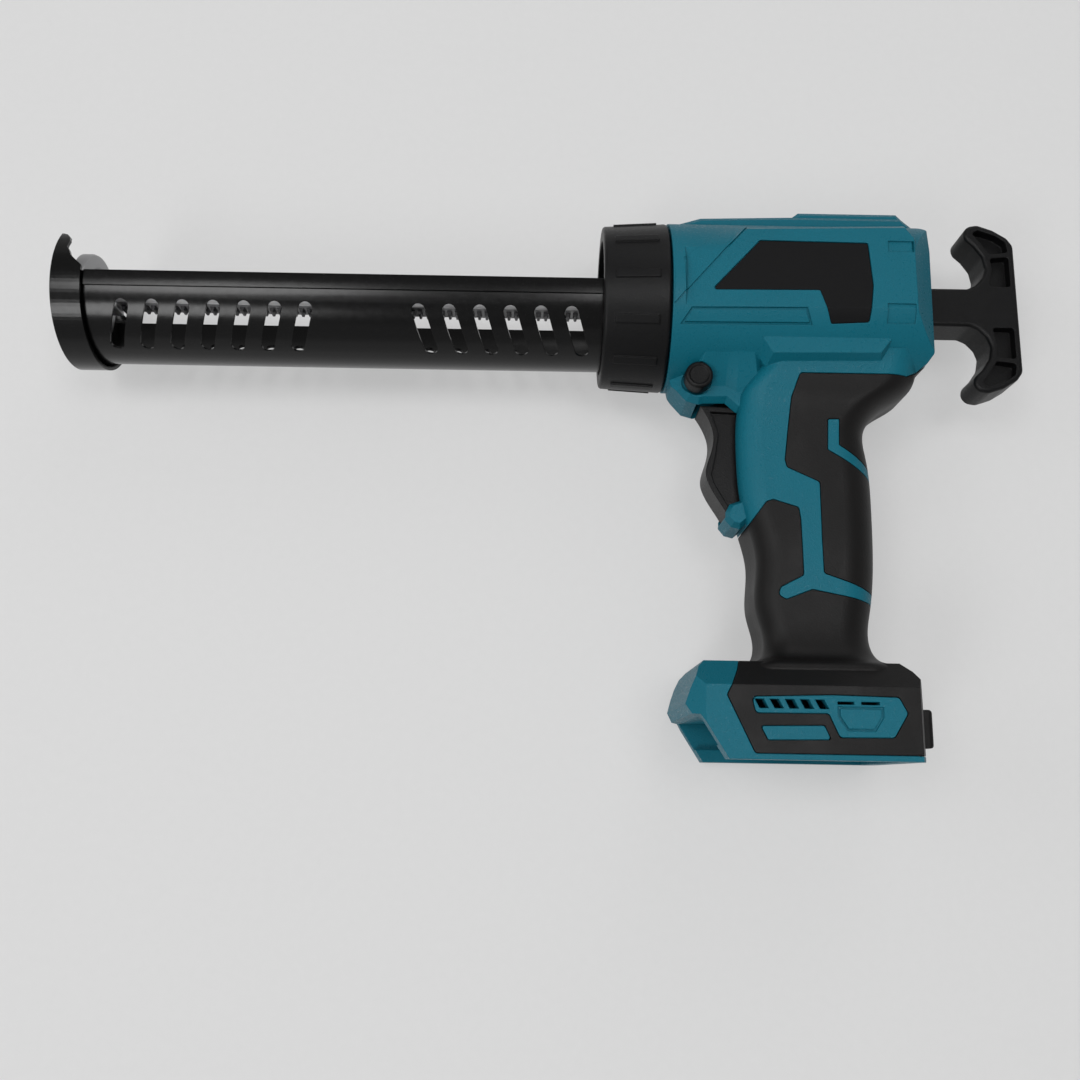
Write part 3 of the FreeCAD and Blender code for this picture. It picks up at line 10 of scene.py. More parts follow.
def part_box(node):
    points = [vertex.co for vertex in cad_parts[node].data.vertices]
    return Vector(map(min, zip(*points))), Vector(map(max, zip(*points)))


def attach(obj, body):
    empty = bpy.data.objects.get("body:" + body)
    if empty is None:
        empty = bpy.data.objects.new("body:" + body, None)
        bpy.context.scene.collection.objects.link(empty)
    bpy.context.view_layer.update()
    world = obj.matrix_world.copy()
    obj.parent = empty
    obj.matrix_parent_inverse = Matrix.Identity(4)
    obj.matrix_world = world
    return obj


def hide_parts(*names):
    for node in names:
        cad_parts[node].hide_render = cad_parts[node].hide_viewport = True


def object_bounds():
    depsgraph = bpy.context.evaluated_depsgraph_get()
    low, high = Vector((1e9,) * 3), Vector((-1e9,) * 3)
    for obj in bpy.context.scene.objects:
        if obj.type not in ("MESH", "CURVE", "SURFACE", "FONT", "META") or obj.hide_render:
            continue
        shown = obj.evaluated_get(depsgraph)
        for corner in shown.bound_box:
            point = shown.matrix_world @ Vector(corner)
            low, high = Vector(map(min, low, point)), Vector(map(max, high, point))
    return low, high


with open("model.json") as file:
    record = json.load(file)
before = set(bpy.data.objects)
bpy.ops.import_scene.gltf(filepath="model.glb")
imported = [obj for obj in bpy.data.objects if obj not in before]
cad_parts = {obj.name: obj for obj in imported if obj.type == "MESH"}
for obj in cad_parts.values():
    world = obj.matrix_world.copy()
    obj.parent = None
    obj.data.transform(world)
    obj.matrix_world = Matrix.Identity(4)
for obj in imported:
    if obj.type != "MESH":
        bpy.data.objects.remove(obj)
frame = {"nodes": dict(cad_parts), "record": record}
CAD_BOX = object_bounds()

# Camera of the photograph: metres and degrees, and millimetres for the lens and the sensor
CAMERA_PLACE = (-0.00044, -0.12462, 0.474)
CAMERA_TILT = 12.5
CAMERA_ROLL = 1.0
CAMERA_LENS = 36.67
SENSOR = 36.0
NEAR_CLIP = 0.01

# Size of grain, patches and rounded edges, in metres
SPARK_GRAIN = 0.00055
FILM_GRAIN = 0.0004
BLACK_GRAIN = 0.0006
BOARD_GRAIN = 0.0008
RUBBER_GRAIN = 0.0007
RUBBED_PATCH = 0.03
PAINT_GRAIN = 0.0022
DUST_GRAIN = 0.0004
STAIN_PATCH = 0.012
DRAWN_LINE = 0.0004
SOFT_EDGE = 0.00045
ROUND_EDGE = 0.0008
HARD_EDGE = 0.0002
EDGE_SAMPLES = 6

# Depth of grain, in metres
SPARK_DEPTH = 0.00010
FILM_DEPTH = 0.00001
BLACK_DEPTH = 0.00005
BUSH_DEPTH = 0.00003
BOARD_DEPTH = 0.00002
RUBBER_DEPTH = 0.00006
PEEL_DEPTH = 0.000012
LINE_DEPTH = 0.00001

# Moulded plastic: sizes against its grain, then shares of tone and roughness
MOTTLE_SPREAD = 60
FACET_SPREAD = 1.7
SPARKLE_BAND = (0.60, 0.72)
SPARKLE_RISE = 0.3
PEBBLE_TONE = 0.55
MOTTLE_TONE = 0.22
MOTTLE_ROUGHNESS = 0.12
MOULDED_SHADES = (0.72, 1.28)

# Rubber, paint and metal: shares of tone and roughness
RUBBED_BAND = (0.45, 0.75)
RUBBED_TONE = 0.6
RUBBED_SHINE = 0.08
RUBBER_TONE = 0.5
RUBBER_SHADES = (0.8, 1.5)
RUBBER_SPECULAR = 0.2
DUST_BAND = (0.62, 0.8)
DUST_SHADE = 2.6
DUST_ROUGHNESS = 0.15
PEEL_ROUGHNESS = 0.08
PAINT_SPECULAR = 0.26
STAIN_TONE = 0.7
STAIN_ROUGHNESS = 0.2
LINE_TONE = 0.5
LINE_ROUGHNESS = 0.15
METAL_SHADES = (0.82, 1.15)

# Screws, in metres, counts and shares
TOUCH = 1e-6
SHARP_ANGLE = 32.0
SCREW_STEPS = 24
SCREW_HEAD = 0.0022
SCREW_DOME = 0.0006
DOME_BEND = 0.3           # of the dome's height
SHANK_SHARE = 0.48        # of the head's radius
SHANK_TIP = 0.4           # of the shank's radius
STAR_LOBES = 6
STAR_SHARE = 0.56         # of the head's radius
STAR_DEPTH_SHARE = 0.6    # of the head's height
STAR_DRAWS = [(0.5, 0.70), (0.25, 0.86)]    # place in the lobe and share of the radius
STAR_REACH = 0.05         # of a lobe, to either side of that place

# Pusher disc, in metres and shares
DISC_STEPS = 96
DISC_PLATE = 0.0018
DISC_EDGE = 0.0014
DISC_BEND = 0.0016
DISC_HOLE = 0.0026
DISC_RING = 0.0007
RING_SHARES = [(0.52, 0), (0.57, 1), (0.66, 1), (0.71, 0)]    # of the radius and of the ring's height
OUTER_BEND = 0.3          # of the bend
INNER_BEND = 0.5          # of the bend
INNER_RISE = 0.6          # of the plate

# Lock button, in metres and shares
BUTTON_HEIGHT = 0.007
BUTTON_EDGE = 0.0011
BUTTON_DISH = 0.0006
BUTTON_STEM = 0.0026
BUTTON_ROUND = [(0.0, 1.0), (0.1, 0.6), (0.35, 0.25), (0.7, 0.05), (1.0, 0.0)]    # inward and down
BUTTON_FACE = [(0.74, 0.0), (0.70, 0.5), (0.66, 0.9), (0.40, 1.0), (0.15, 1.0), (0.0, 1.0)]

# Mouth of the nozzle slot and horns of the front cap, in metres
MARGIN = 0.01
MOUTH_START = 0.006
MOUTH_HALF = 0.0141
MOUTH_SLOPE = 0.62
HORN_EDGE = [(-MARGIN, 0.0020), (0.0, 0.0020), (0.0013, 0.0031), (0.0035, 0.0051), (0.0049, 0.0065),
             (0.0059, 0.0088), (0.0072, 0.0106), (0.0073, 0.0118), (0.0071, 0.0140), (0.0079, 0.0164),
             (0.0095, 0.0181), (0.0113, 0.0188), (0.0225, 0.0188)]    # back from the rim, up from the axis

# Toothed bar, in metres
RACK_START = 0.009
RACK_END = 0.305
RACK_EDGE = 0.0004
RACK_OVERLAP = 0.0003
EDGE_STEPS = 3
TOOTH_DEPTH = 0.0019
TOOTH_PITCH = math.pi / 1000
TOOTH_ROOT_HALF = 0.00115
TOOTH_TIP_SHARE = 0.4
TOOTH_WIDTH = 0.005

# Slanting shoulder on both sides of the head, in metres
STRIP_LOW = [(0.0512, 0.0617), (0.0811, 0.0967)]
STRIP_HIGH = [(0.0512, 0.0777), (0.0776, 0.1015)]
STRIP_RISE = 0.0007
STRIP_SINK = 0.0018
STRIP_STEPS = (48, 8)
GRID_HALF = 0.5

# Studio, in metres and watts
SWEEP = [(0.0, 0.0), (3.5, 0.0), (4.2, 0.05), (4.9, 0.25), (5.4, 0.7), (5.7, 1.4), (5.8, 3.5)]
FLOOR_FIBRE = 0.004
FLOOR_DARK = (0.665, 0.665, 0.665, 1.0)
FLOOR_LIGHT = (0.69, 0.69, 0.69, 1.0)
FLOOR_GLOW = 0.6          # share of the floor's paleness that shadows leave
WHITE = (1.0, 1.0, 1.0, 1.0)
SKY_STRENGTH = 0.30
LAMP_TARGET = (0.0, 0.0, 0.03)
LAMPS = [("left_overhead", (-0.6, 0.05, 1.7), 0.6, 8.0),
         ("right_overhead", (0.35, 0.05, 1.7), 0.6, 7.0),
         ("near_left", (-0.95, -1.2, 1.6), 0.75, 12.0),
         ("left_side", (-1.5, 0.3, 1.1), 0.9, 5.0),
         ("far_side", (0.5, 1.5, 1.2), 1.0, 4.0)]    # name, place, width and power


class Value:
    """A shader socket that can stand in a formula."""

    def __init__(self, finish, socket):
        self.finish = finish
        self.socket = socket

    def math(self, operation, first, second):
        return self.finish.node("ShaderNodeMath", {"operation": operation}, {0: first, 1: second})

    def __add__(self, other):
        return self.math("ADD", self, other)

    def __radd__(self, other):
        return self.math("ADD", other, self)

    def __sub__(self, other):
        return self.math("SUBTRACT", self, other)

    def __rsub__(self, other):
        return self.math("SUBTRACT", other, self)

    def __mul__(self, other):
        return self.math("MULTIPLY", self, other)

    def swing(self, share):
        """How far the value is from its middle, times a share."""
        return (self - 0.5) * share

    def over(self, low, high):
        """0 below low, 1 above high, smooth between."""
        settings = {"interpolation_type": "SMOOTHSTEP"}
        inputs = {"Value": self, "From Min": low, "From Max": high}
        return self.finish.node("ShaderNodeMapRange", settings, inputs)


class Finish:
    """A material whose nodes are added by formulas."""

    def __init__(self, name):
        self.material = bpy.data.materials.new(name)
        self.material.use_nodes = True
        self.tree = self.material.node_tree
        self.tree.nodes.clear()
        self.place = None

    def node(self, kind, settings=None, inputs=None, output=0):
        made = self.tree.nodes.new(kind)
        for key, value in (settings or {}).items():
            setattr(made, key, value)
        for key, value in (inputs or {}).items():
            socket = made.inputs[key]
            if isinstance(value, Value):
                self.tree.links.new(value.socket, socket)
            else:
                socket.default_value = value
        return Value(self, made.outputs[output]) if made.outputs else None

    def where(self):
        if self.place is None:
            self.place = self.node("ShaderNodeTexCoord", output="Object")
        return self.place

    def noise(self, size, detail=2.0, roughness=0.5):
        inputs = {"Vector": self.where(), "Scale": 1.0 / size, "Detail": detail, "Roughness": roughness}
        return self.node("ShaderNodeTexNoise", {}, inputs)

    def mix(self, share, first, second):
        inputs = {0: share, 6: first, 7: second}
        return self.node("ShaderNodeMix", {"data_type": "RGBA"}, inputs, output=2)

    def soft_edges(self, radius):
        return self.node("ShaderNodeBevel", {"samples": EDGE_SAMPLES}, {"Radius": radius})

    def bump(self, height, depth, normal):
        inputs = {"Height": height, "Distance": depth, "Strength": 1.0, "Normal": normal}
        return self.node("ShaderNodeBump", {}, inputs)

    def surface(self, **sockets):
        inputs = {name.replace("_", " "): value for name, value in sockets.items()}
        shader = self.node("ShaderNodeBsdfPrincipled", {}, inputs)
        self.node("ShaderNodeOutputMaterial", {}, {"Surface": shader})
        return self.material


def shade(colour, factor):
    return tuple(min(1.0, c * factor) for c in colour) + (1.0,)


def between(f, tone, colour, shades):
    """A tone between a darker and a lighter shade of a colour."""
    return f.mix(tone, shade(colour, shades[0]), shade(colour, shades[1]))


def moulded(name, colour, roughness, grain, depth, glints=0.0, edge=SOFT_EDGE, specular=0.5):
    """Spark-textured moulded plastic: pebbled grain, a slight mottle and small bright facets."""
    f = Finish(name)
    pebble = f.noise(grain, detail=3.0, roughness=0.6)
    mottle = f.noise(grain * MOTTLE_SPREAD)
    sparkle = f.noise(grain * FACET_SPREAD, detail=0.0).over(*SPARKLE_BAND)
    tone = pebble.swing(PEBBLE_TONE) + mottle.swing(MOTTLE_TONE) + 0.5
    base = between(f, tone, colour, MOULDED_SHADES)
    normal = f.bump(pebble + sparkle * SPARKLE_RISE, depth, f.soft_edges(edge))
    rough = (roughness + mottle.swing(MOTTLE_ROUGHNESS)) - sparkle * glints
    return f.surface(Base_Color=base, Roughness=rough, Normal=normal, Specular_IOR_Level=specular)


def rubber(name, colour, roughness):
    """Soft matt rubber with fine pebbling and lighter rubbed patches."""
    f = Finish(name)
    pebble = f.noise(RUBBER_GRAIN)
    worn = f.noise(RUBBED_PATCH, detail=3.0, roughness=0.6).over(*RUBBED_BAND)
    base = between(f, worn * RUBBED_TONE + pebble.swing(RUBBER_TONE), colour, RUBBER_SHADES)
    normal = f.bump(pebble, RUBBER_DEPTH, f.soft_edges(SOFT_EDGE))
    rough = roughness - worn * RUBBED_SHINE
    return f.surface(Base_Color=base, Roughness=rough, Normal=normal, Specular_IOR_Level=RUBBER_SPECULAR)


def painted(name, colour, roughness):
    """Powder-coated sheet steel: a faint orange peel and fine dust."""
    f = Finish(name)
    peel = f.noise(PAINT_GRAIN, detail=1.0)
    dust = f.noise(DUST_GRAIN).over(*DUST_BAND)
    base = between(f, dust, colour, (1.0, DUST_SHADE))
    normal = f.bump(peel, PEEL_DEPTH, f.soft_edges(HARD_EDGE))
    rough = roughness + dust * DUST_ROUGHNESS + peel.swing(PEEL_ROUGHNESS)
    return f.surface(Base_Color=base, Roughness=rough, Normal=normal, Specular_IOR_Level=PAINT_SPECULAR)


def metal(name, colour, roughness, streak=(1.0, 1.0, 1.0)):
    """Bare or plated metal with drawn streaks along one axis and a little staining."""
    f = Finish(name)
    stretched = f.node("ShaderNodeMapping", {}, {"Vector": f.where(), "Scale": streak})
    inputs = {"Vector": stretched, "Scale": 1.0 / DRAWN_LINE, "Detail": 2.0}
    lines = f.node("ShaderNodeTexNoise", {}, inputs)
    stain = f.noise(STAIN_PATCH, detail=3.0, roughness=0.6)
    base = between(f, stain.swing(STAIN_TONE) + lines.swing(LINE_TONE) + 0.5, colour, METAL_SHADES)
    rough = roughness + stain.swing(STAIN_ROUGHNESS) + lines.swing(LINE_ROUGHNESS)
    normal = f.bump(lines, LINE_DEPTH, f.soft_edges(HARD_EDGE))
    return f.surface(Base_Color=base, Metallic=1.0, Roughness=rough, Normal=normal)


TEAL = (0.0035, 0.114, 0.162)
FINISHES = {
    "teal_plastic": moulded("teal_plastic", TEAL, 0.48, SPARK_GRAIN, SPARK_DEPTH, glints=0.2, specular=0.16),
    "grip_rubber": rubber("grip_rubber", (0.0042, 0.0037, 0.0037), 0.5),
    "label_film": moulded("label_film", (0.004, 0.004, 0.0045), 0.5, FILM_GRAIN, FILM_DEPTH, specular=0.12),
    "black_plastic": moulded("black_plastic", (0.0034, 0.0034, 0.0037), 0.42, BLACK_GRAIN, BLACK_DEPTH,
                             glints=0.06, edge=ROUND_EDGE, specular=0.17),
    "black_paint": painted("black_paint", (0.0014, 0.0014, 0.0015), 0.2),
    "rod_steel": metal("rod_steel", (0.56, 0.56, 0.565), 0.52, (0.02, 1.0, 1.0)),
    "zinc": metal("zinc", (0.33, 0.33, 0.335), 0.46),
    "screw_steel": metal("screw_steel", (0.16, 0.16, 0.165), 0.38),
    "bush_plastic": moulded("bush_plastic", (0.05, 0.05, 0.05), 0.45, BLACK_GRAIN, BUSH_DEPTH),
    "gear_steel": metal("gear_steel", (0.30, 0.30, 0.31), 0.3, (1.0, 1.0, 0.05)),
    "bronze": metal("bronze", (0.52, 0.33, 0.14), 0.35),
    "motor_steel": metal("motor_steel", (0.38, 0.38, 0.39), 0.3, (1.0, 1.0, 0.05)),
    "board_green": moulded("board_green", (0.02, 0.13, 0.06), 0.35, BOARD_GRAIN, BOARD_DEPTH),
    "sink_aluminium": metal("sink_aluminium", (0.60, 0.60, 0.61), 0.35, (0.05, 1.0, 1.0)),
}

SLOT_OF = {row["node"]: row["material_slot"] for row in frame["record"]["subparts"]}


def dress(piece, slot):
    piece.data.materials.clear()
    piece.data.materials.append(FINISHES[slot])


for name, node in frame["nodes"].items():
    dress(node, SLOT_OF[name])


# New pieces, most of which stand for a plainer node
def finish_piece(name, body, slot, holder, node=None):
    """Makes an object of a mesh, smooth apart from its sharp edges.

    It rides on a body, and may stand for a node."""
    bmesh.ops.remove_doubles(body, verts=body.verts, dist=TOUCH)
    bmesh.ops.recalc_face_normals(body, faces=body.faces)
    mesh = bpy.data.meshes.new(name)
    body.to_mesh(mesh)
    body.free()
    mesh.shade_smooth()
    mesh.set_sharp_from_angle(angle=math.radians(SHARP_ANGLE))
    piece = bpy.data.objects.new(name, mesh)
    bpy.context.scene.collection.objects.link(piece)
    dress(piece, slot)
    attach(piece, holder)
    if node:
        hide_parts(node)


def verts_in(geometry):
    return [item for item in geometry if isinstance(item, bmesh.types.BMVert)]


def edges_in(geometry):
    return [item for item in geometry if isinstance(item, bmesh.types.BMEdge)]


def turn_profile(body, profile, foot, ahead, across, steps, closed=False):
    """Spins a row of (radius, height) about the line through foot."""
    along = Vector(ahead)
    side = Vector(across)
    row = [body.verts.new(foot + side * radius + along * height) for radius, height in profile]
    pairs = zip(row, row[1:] + row[:1]) if closed else zip(row, row[1:])
    line = [body.edges.new(pair) for pair in pairs]
    bmesh.ops.spin(body, geom=row + line, cent=foot, axis=along, angle=2 * math.pi, steps=steps,
                   use_merge=True)


def press_star(body, rim, centre, ahead, depth):
    """Draws an open round rim into a star and sinks it."""
    along = Vector(ahead)
    still = Matrix.Translation(-centre)
    side = (rim[0].co - centre).normalized()
    up = along.cross(side)
    for lobe_share, draw in STAR_DRAWS:
        chosen = []
        for vert in rim:
            spoke = vert.co - centre
            lobe = math.atan2(spoke.dot(up), spoke.dot(side)) * STAR_LOBES / (2 * math.pi)
            if abs(abs((lobe + 0.5) % 1 - 0.5) - lobe_share) < STAR_REACH:
                chosen.append(vert)
        bmesh.ops.scale(body, vec=(draw, draw, draw), space=still, verts=chosen)
    edges = [edge for edge in body.edges
             if edge.is_boundary and edge.verts[0] in rim and edge.verts[1] in rim]
    sunk = bmesh.ops.extrude_edge_only(body, edges=edges)["geom"]
    bmesh.ops.translate(body, verts=verts_in(sunk), vec=-along * depth)
    bmesh.ops.contextual_create(body, geom=edges_in(sunk))


def star_screw(foot, ahead, across, length, head):
    """A screw from its tip at foot to its domed head with a star drive."""
    body = bmesh.new()
    shank = head * SHANK_SHARE
    under = length - SCREW_HEAD
    bend = SCREW_DOME * DOME_BEND
    profile = [(0.0, 0.0), (shank * SHANK_TIP, 0.0), (shank, shank), (shank, under), (head, under),
               (head, length - SCREW_DOME), (head - bend, length - bend), (head - SCREW_DOME, length),
               (head * STAR_SHARE, length)]
    turn_profile(body, profile, foot, ahead, across, SCREW_STEPS)
    bmesh.ops.remove_doubles(body, verts=body.verts, dist=TOUCH)
    rim = [vert for vert in body.verts if vert.is_boundary]
    press_star(body, rim, foot + Vector(ahead) * length, ahead, SCREW_HEAD * STAR_DEPTH_SHARE)
    return body


def merged_copy(node):
    body = bmesh.new()
    body.from_mesh(frame["nodes"][node].data)
    bmesh.ops.remove_doubles(body, verts=body.verts, dist=TOUCH)
    return body


def loose_boxes(node):
    """Lowest and highest corner of each loose piece of a node."""
    body = merged_copy(node)
    left = set(body.verts)
    boxes = []
    while left:
        reach = [left.pop()]
        corners = []
        while reach:
            here = reach.pop()
            corners.append(here.co.copy())
            near = {edge.other_vert(here) for edge in here.link_edges} & left
            left -= near
            reach += near
        boxes.append([Vector([pick(c[k] for c in corners) for k in range(3)]) for pick in (min, max)])
    body.free()
    return sorted(boxes, key=lambda pair: tuple(pair[0]))


def housing_star_screws():
    everything = bmesh.new()
    for low, high in loose_boxes("housing_screws"):
        tip = Vector(((low.x + high.x) / 2, (low.y + high.y) / 2, high.z))
        one = star_screw(tip, (0, 0, -1), (1, 0, 0), high.z - low.z, (high.x - low.x) / 2)
        mesh = bpy.data.meshes.new("one_screw")
        one.to_mesh(mesh)
        one.free()
        everything.from_mesh(mesh)
        bpy.data.meshes.remove(mesh)
    finish_piece("housing_star_screws", everything, "screw_steel", "casing", "housing_screws")


def disc_star_screw():
    low, high = [Vector(corner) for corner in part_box("disc_screw")]
    tip = Vector((high.x, (low.y + high.y) / 2, (low.z + high.z) / 2))
    body = star_screw(tip, (-1, 0, 0), (0, 1, 0), high.x - low.x, (high.y - low.y) / 2)
    finish_piece("disc_star_screw", body, SLOT_OF["disc_screw"], "plunger", "disc_screw")


def stamped_disc():
    """The pusher disc: a dished plate with a rolled rim and one stamped ring."""
    low, high = [Vector(corner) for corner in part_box("pusher_disc")]
    radius = (high.y - low.y) / 2
    rim = high.x - low.x
    back = Vector((high.x, (low.y + high.y) / 2, (low.z + high.z) / 2))
    inner = radius - DISC_EDGE
    bend = DISC_BEND * OUTER_BEND
    ring = [(radius * share, DISC_RING * rise) for share, rise in RING_SHARES]
    rear = [(DISC_HOLE, 0.0)] + ring + [(radius - DISC_BEND, 0.0), (radius - bend, bend)]
    edge = [(radius, DISC_BEND), (radius, rim), (inner, rim), (inner, DISC_BEND + DISC_PLATE * INNER_RISE),
            (inner - DISC_BEND * INNER_BEND, DISC_PLATE)]
    front = [(r, DISC_PLATE + rise) for r, rise in reversed(ring)] + [(DISC_HOLE, DISC_PLATE)]
    body = bmesh.new()
    turn_profile(body, rear + edge + front, back, (-1, 0, 0), (0, 1, 0), DISC_STEPS, closed=True)
    finish_piece("stamped_disc", body, SLOT_OF["pusher_disc"], "plunger", "pusher_disc")


def dished_lock_button():
    low, high = [Vector(corner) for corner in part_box("lock_button")]
    radius = (high.x - low.x) / 2
    face = high.z - low.z
    shoulder = face - BUTTON_HEIGHT
    foot = Vector(((low.x + high.x) / 2, (low.y + high.y) / 2, low.z))
    profile = [(0.0, 0.0), (BUTTON_STEM, 0.0), (BUTTON_STEM, shoulder), (radius, shoulder)]
    profile += [(radius - BUTTON_EDGE * inward, face - BUTTON_EDGE * down) for inward, down in BUTTON_ROUND]
    profile += [(radius * share, face - BUTTON_DISH * sink) for share, sink in BUTTON_FACE]
    body = bmesh.new()
    turn_profile(body, profile, foot, (0, 0, 1), (1, 0, 0), DISC_STEPS)
    finish_piece("dished_lock_button", body, SLOT_OF["lock_button"], "lock_button", "lock_button")


def prism(outline, reach):
    """A closed block: an outline pulled along reach."""
    body = bmesh.new()
    row = [body.verts.new(point) for point in outline]
    line = [body.edges.new(pair) for pair in zip(row, row[1:] + row[:1])]
    drawn = bmesh.ops.contextual_create(body, geom=line)["faces"]
    pulled = bmesh.ops.extrude_face_region(body, geom=drawn)["geom"]
    bmesh.ops.translate(body, verts=verts_in(pulled), vec=reach)
    return body


def cut_away(body, cutter):
    """Takes a closed mesh away from another one."""
    kept, tool = [bpy.data.objects.new(name, bpy.data.meshes.new(name)) for name in ("kept", "tool")]
    for holder, mesh in ((kept, body), (tool, cutter)):
        bmesh.ops.recalc_face_normals(mesh, faces=mesh.faces)
        mesh.to_mesh(holder.data)
        mesh.free()
        bpy.context.scene.collection.objects.link(holder)
    cut = kept.modifiers.new("cut", "BOOLEAN")
    cut.operation = "DIFFERENCE"
    cut.solver = "EXACT"
    cut.object = tool
    result = bmesh.new()
    result.from_object(kept, bpy.context.evaluated_depsgraph_get())
    for holder in (kept, tool):
        mesh = holder.data
        bpy.data.objects.remove(holder)
        bpy.data.meshes.remove(mesh)
    return result


def flared_cap():
    """The front cap, with the mouth of its nozzle slot opened and both horns cut to their waisted edge."""
    low, high = [Vector(corner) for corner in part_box("front_cap")]
    middle = (low.z + high.z) / 2
    axis = low.y + (high.z - low.z) / 2
    level = axis + MOUTH_START
    top = high.y + MARGIN
    wide = MOUTH_HALF + MOUTH_SLOPE * (top - level)
    corners = [(level, -MOUTH_HALF), (level, MOUTH_HALF), (top, wide), (top, -wide)]
    mouth = [(low.x - MARGIN, y, middle + z) for y, z in corners]
    horns = [(high.x - back, axis + rise, low.z - MARGIN) for back, rise in HORN_EDGE]
    horns += [(x, top, low.z - MARGIN) for x in (horns[-1][0], horns[0][0])]
    body = cut_away(merged_copy("front_cap"), prism(mouth, (high.x - low.x + 2 * MARGIN, 0, 0)))
    body = cut_away(body, prism(horns, (0, 0, high.z - low.z + 2 * MARGIN)))
    finish_piece("flared_cap", body, SLOT_OF["front_cap"], "barrel", "front_cap")


def add_block(body, low, high, edge=0.0):
    """A box between two corners, with its edges rounded where an edge is given."""
    size = Vector(high) - Vector(low)
    place = Matrix.Translation((Vector(high) + Vector(low)) / 2) @ Matrix.Diagonal((*size, 1.0))
    verts = bmesh.ops.create_cube(body, size=1.0, matrix=place)["verts"]
    if edge:
        edges = list({e for v in verts for e in v.link_edges})
        bmesh.ops.bevel(body, geom=edges, offset=edge, affect="EDGES", segments=EDGE_STEPS, profile=0.5,
                        material=-1)
    return verts


def rack_bar():
    """The plunger's bar, straight along its sides, and the narrower row of teeth under it, the teeth in
    darker screw steel as painted shade.
    """
    low, high = [Vector(corner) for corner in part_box("plunger_rod")]
    root = low.y + TOOTH_DEPTH
    lap = root + RACK_OVERLAP
    first_tooth, last_tooth = low.x + RACK_START, low.x + RACK_END
    bar = bmesh.new()
    add_block(bar, (low.x, root, low.z), high, RACK_EDGE)
    add_block(bar, low, (first_tooth, lap, high.z), RACK_EDGE)
    add_block(bar, (last_tooth, low.y, low.z), (high.x, lap, high.z), RACK_EDGE)
    finish_piece("rack_bar", bar, SLOT_OF["plunger_rod"], "plunger", "plunger_rod")

    axle = (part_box("drive_pinion")[0][0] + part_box("drive_pinion")[1][0]) / 2
    middle = (low.z + high.z) / 2
    half = TOOTH_WIDTH / 2
    first = math.ceil((first_tooth - axle) / TOOTH_PITCH)
    last = math.floor((last_tooth - axle) / TOOTH_PITCH)
    teeth = bmesh.new()
    for k in range(first, last):
        x = axle + (k + 0.5) * TOOTH_PITCH
        tooth = add_block(teeth, (x - TOOTH_ROOT_HALF, low.y, middle - half),
                          (x + TOOTH_ROOT_HALF, lap, middle + half))
        tips = [v for v in tooth if v.co.y < root]
        still = Matrix.Translation((-x, 0, 0))
        bmesh.ops.scale(teeth, vec=(TOOTH_TIP_SHARE, 1, 1), space=still, verts=tips)
    # The teeth wear the darker screw steel rather than the bar's own steel: painted shade for the shadowed
    # underside of the bar.
    finish_piece("rack_teeth", teeth, "screw_steel", "plunger")


def shoulder_strip(name, housing, side):
    """The slanting shoulder across the head: a wedge that lies on the housing's side."""
    mesh = frame["nodes"][housing].data
    skin = BVHTree.FromPolygons([v.co for v in mesh.vertices], [p.vertices[:] for p in mesh.polygons])
    outside = CAD_BOX[0][2] if side < 0 else CAD_BOX[1][2]
    body = bmesh.new()
    bmesh.ops.create_grid(body, x_segments=STRIP_STEPS[0], y_segments=STRIP_STEPS[1], size=GRID_HALF)
    for vert in body.verts:
        along = vert.co.x + GRID_HALF
        rise = vert.co.y + GRID_HALF
        low = Vector(STRIP_LOW[0]).lerp(Vector(STRIP_LOW[1]), along)
        high = Vector(STRIP_HIGH[0]).lerp(Vector(STRIP_HIGH[1]), along)
        spot = low.lerp(high, rise)
        hit = skin.ray_cast(Vector((spot.x, spot.y, outside)), Vector((0, 0, -side)))[0]
        vert.co = hit + Vector((0, 0, side * STRIP_RISE * (1 - rise)))
    sunk = bmesh.ops.extrude_face_region(body, geom=body.faces)["geom"]
    bmesh.ops.translate(body, verts=verts_in(sunk), vec=(0, 0, -side * STRIP_SINK))
    finish_piece(name, body, SLOT_OF[housing], "casing")


housing_star_screws()
disc_star_screw()
stamped_disc()
dished_lock_button()
flared_cap()
rack_bar()
shoulder_strip("shoulder_strip_left", "left_housing", 1)
shoulder_strip("shoulder_strip_right", "right_housing", -1)


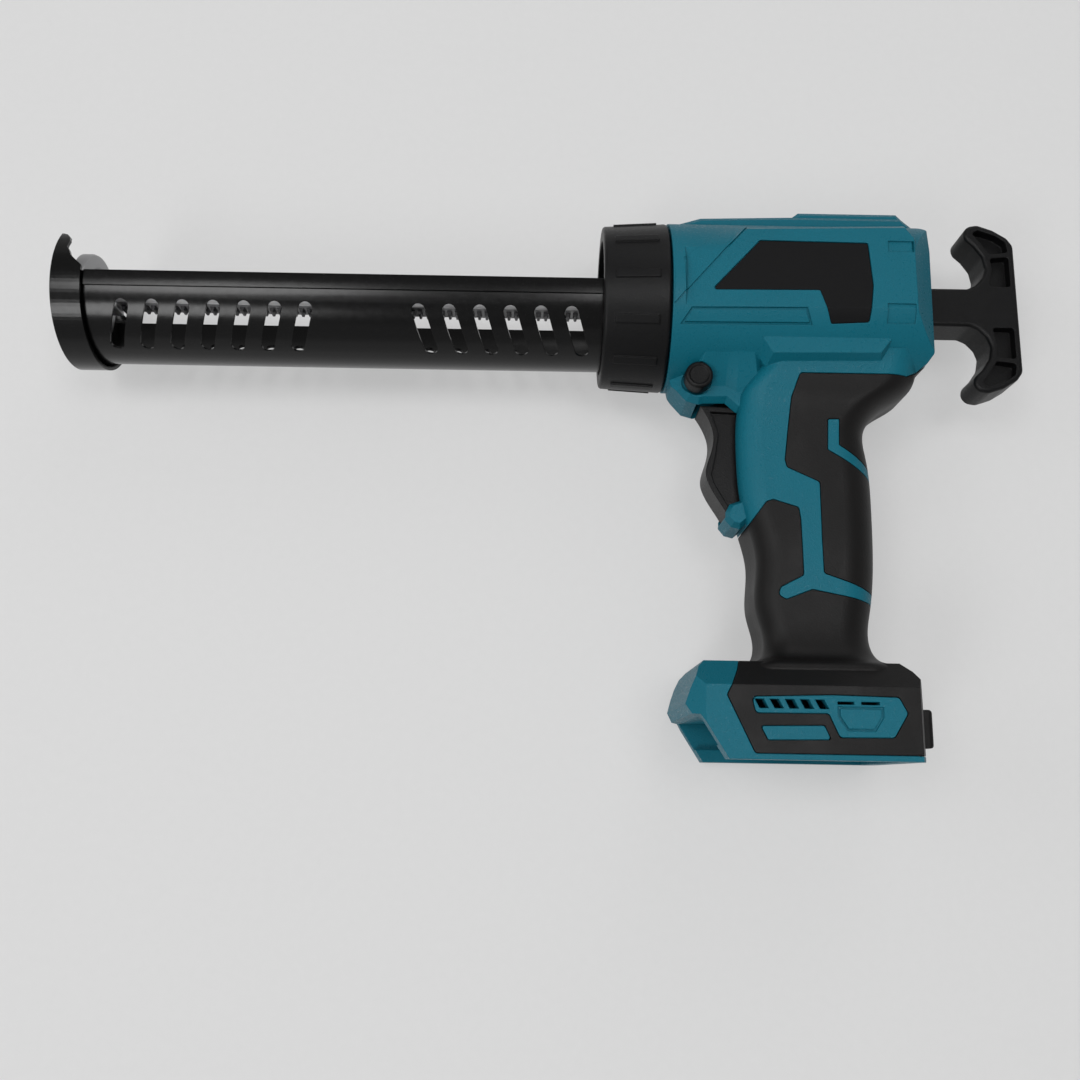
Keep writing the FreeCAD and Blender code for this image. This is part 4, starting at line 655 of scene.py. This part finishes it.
# Studio
def plain_floor():
    f = Finish("pale_floor")
    base = f.mix(f.noise(FLOOR_FIBRE, detail=4.0, roughness=0.6), FLOOR_DARK, FLOOR_LIGHT)
    paper = f.node("ShaderNodeBsdfDiffuse", {}, {"Color": base})
    glow = f.node("ShaderNodeEmission", {}, {"Color": base, "Strength": 1.0})
    seen = f.node("ShaderNodeLightPath", output="Is Camera Ray")
    mirrored = f.node("ShaderNodeLightPath", output="Is Glossy Ray")
    through = f.node("ShaderNodeLightPath", output="Is Transmission Ray")
    share = (seen + mirrored + through) * FLOOR_GLOW
    blend = f.node("ShaderNodeMixShader", {}, {0: share, 1: paper, 2: glow})
    f.node("ShaderNodeOutputMaterial", {}, {"Surface": blend})
    mesh = bpy.data.meshes.new("pale_floor")
    sweep = bmesh.new()
    turn_profile(sweep, SWEEP, Vector((0, 0, 0)), (0, 0, 1), (1, 0, 0), DISC_STEPS)
    bmesh.ops.remove_doubles(sweep, verts=sweep.verts, dist=TOUCH)
    sweep.to_mesh(mesh)
    sweep.free()
    mesh.shade_smooth()
    floor = bpy.data.objects.new("pale_floor", mesh)
    mesh.materials.append(f.material)
    bpy.context.scene.collection.objects.link(floor)


def soft_lamp(name, place, size, power):
    lamp = bpy.data.lights.new(name, "AREA")
    lamp.shape = "DISK"
    lamp.size = size
    lamp.energy = power
    made = bpy.data.objects.new(name, lamp)
    made.location = place
    made.rotation_euler = (Vector(LAMP_TARGET) - Vector(place)).to_track_quat("-Z", "Y").to_euler()
    bpy.context.scene.collection.objects.link(made)


def studio():
    plain_floor()
    for lamp in LAMPS:
        soft_lamp(*lamp)
    world = bpy.data.worlds.new("studio")
    world.use_nodes = True
    sky = world.node_tree.nodes["Background"]
    sky.inputs["Color"].default_value = WHITE
    sky.inputs["Strength"].default_value = SKY_STRENGTH
    bpy.context.scene.world = world
    bpy.context.scene.view_settings.view_transform = "Standard"


def photo_camera():
    lens = bpy.data.cameras.new("photo_camera")
    lens.lens = CAMERA_LENS
    lens.sensor_width = SENSOR
    lens.clip_start = NEAR_CLIP
    camera = bpy.data.objects.new("photo_camera", lens)
    tilt = Matrix.Rotation(math.radians(CAMERA_TILT), 4, "X")
    roll = Matrix.Rotation(math.radians(CAMERA_ROLL), 4, "Z")
    camera.matrix_world = Matrix.Translation(CAMERA_PLACE) @ tilt @ roll
    bpy.context.scene.collection.objects.link(camera)
    bpy.context.scene.camera = camera


studio()
photo_camera()
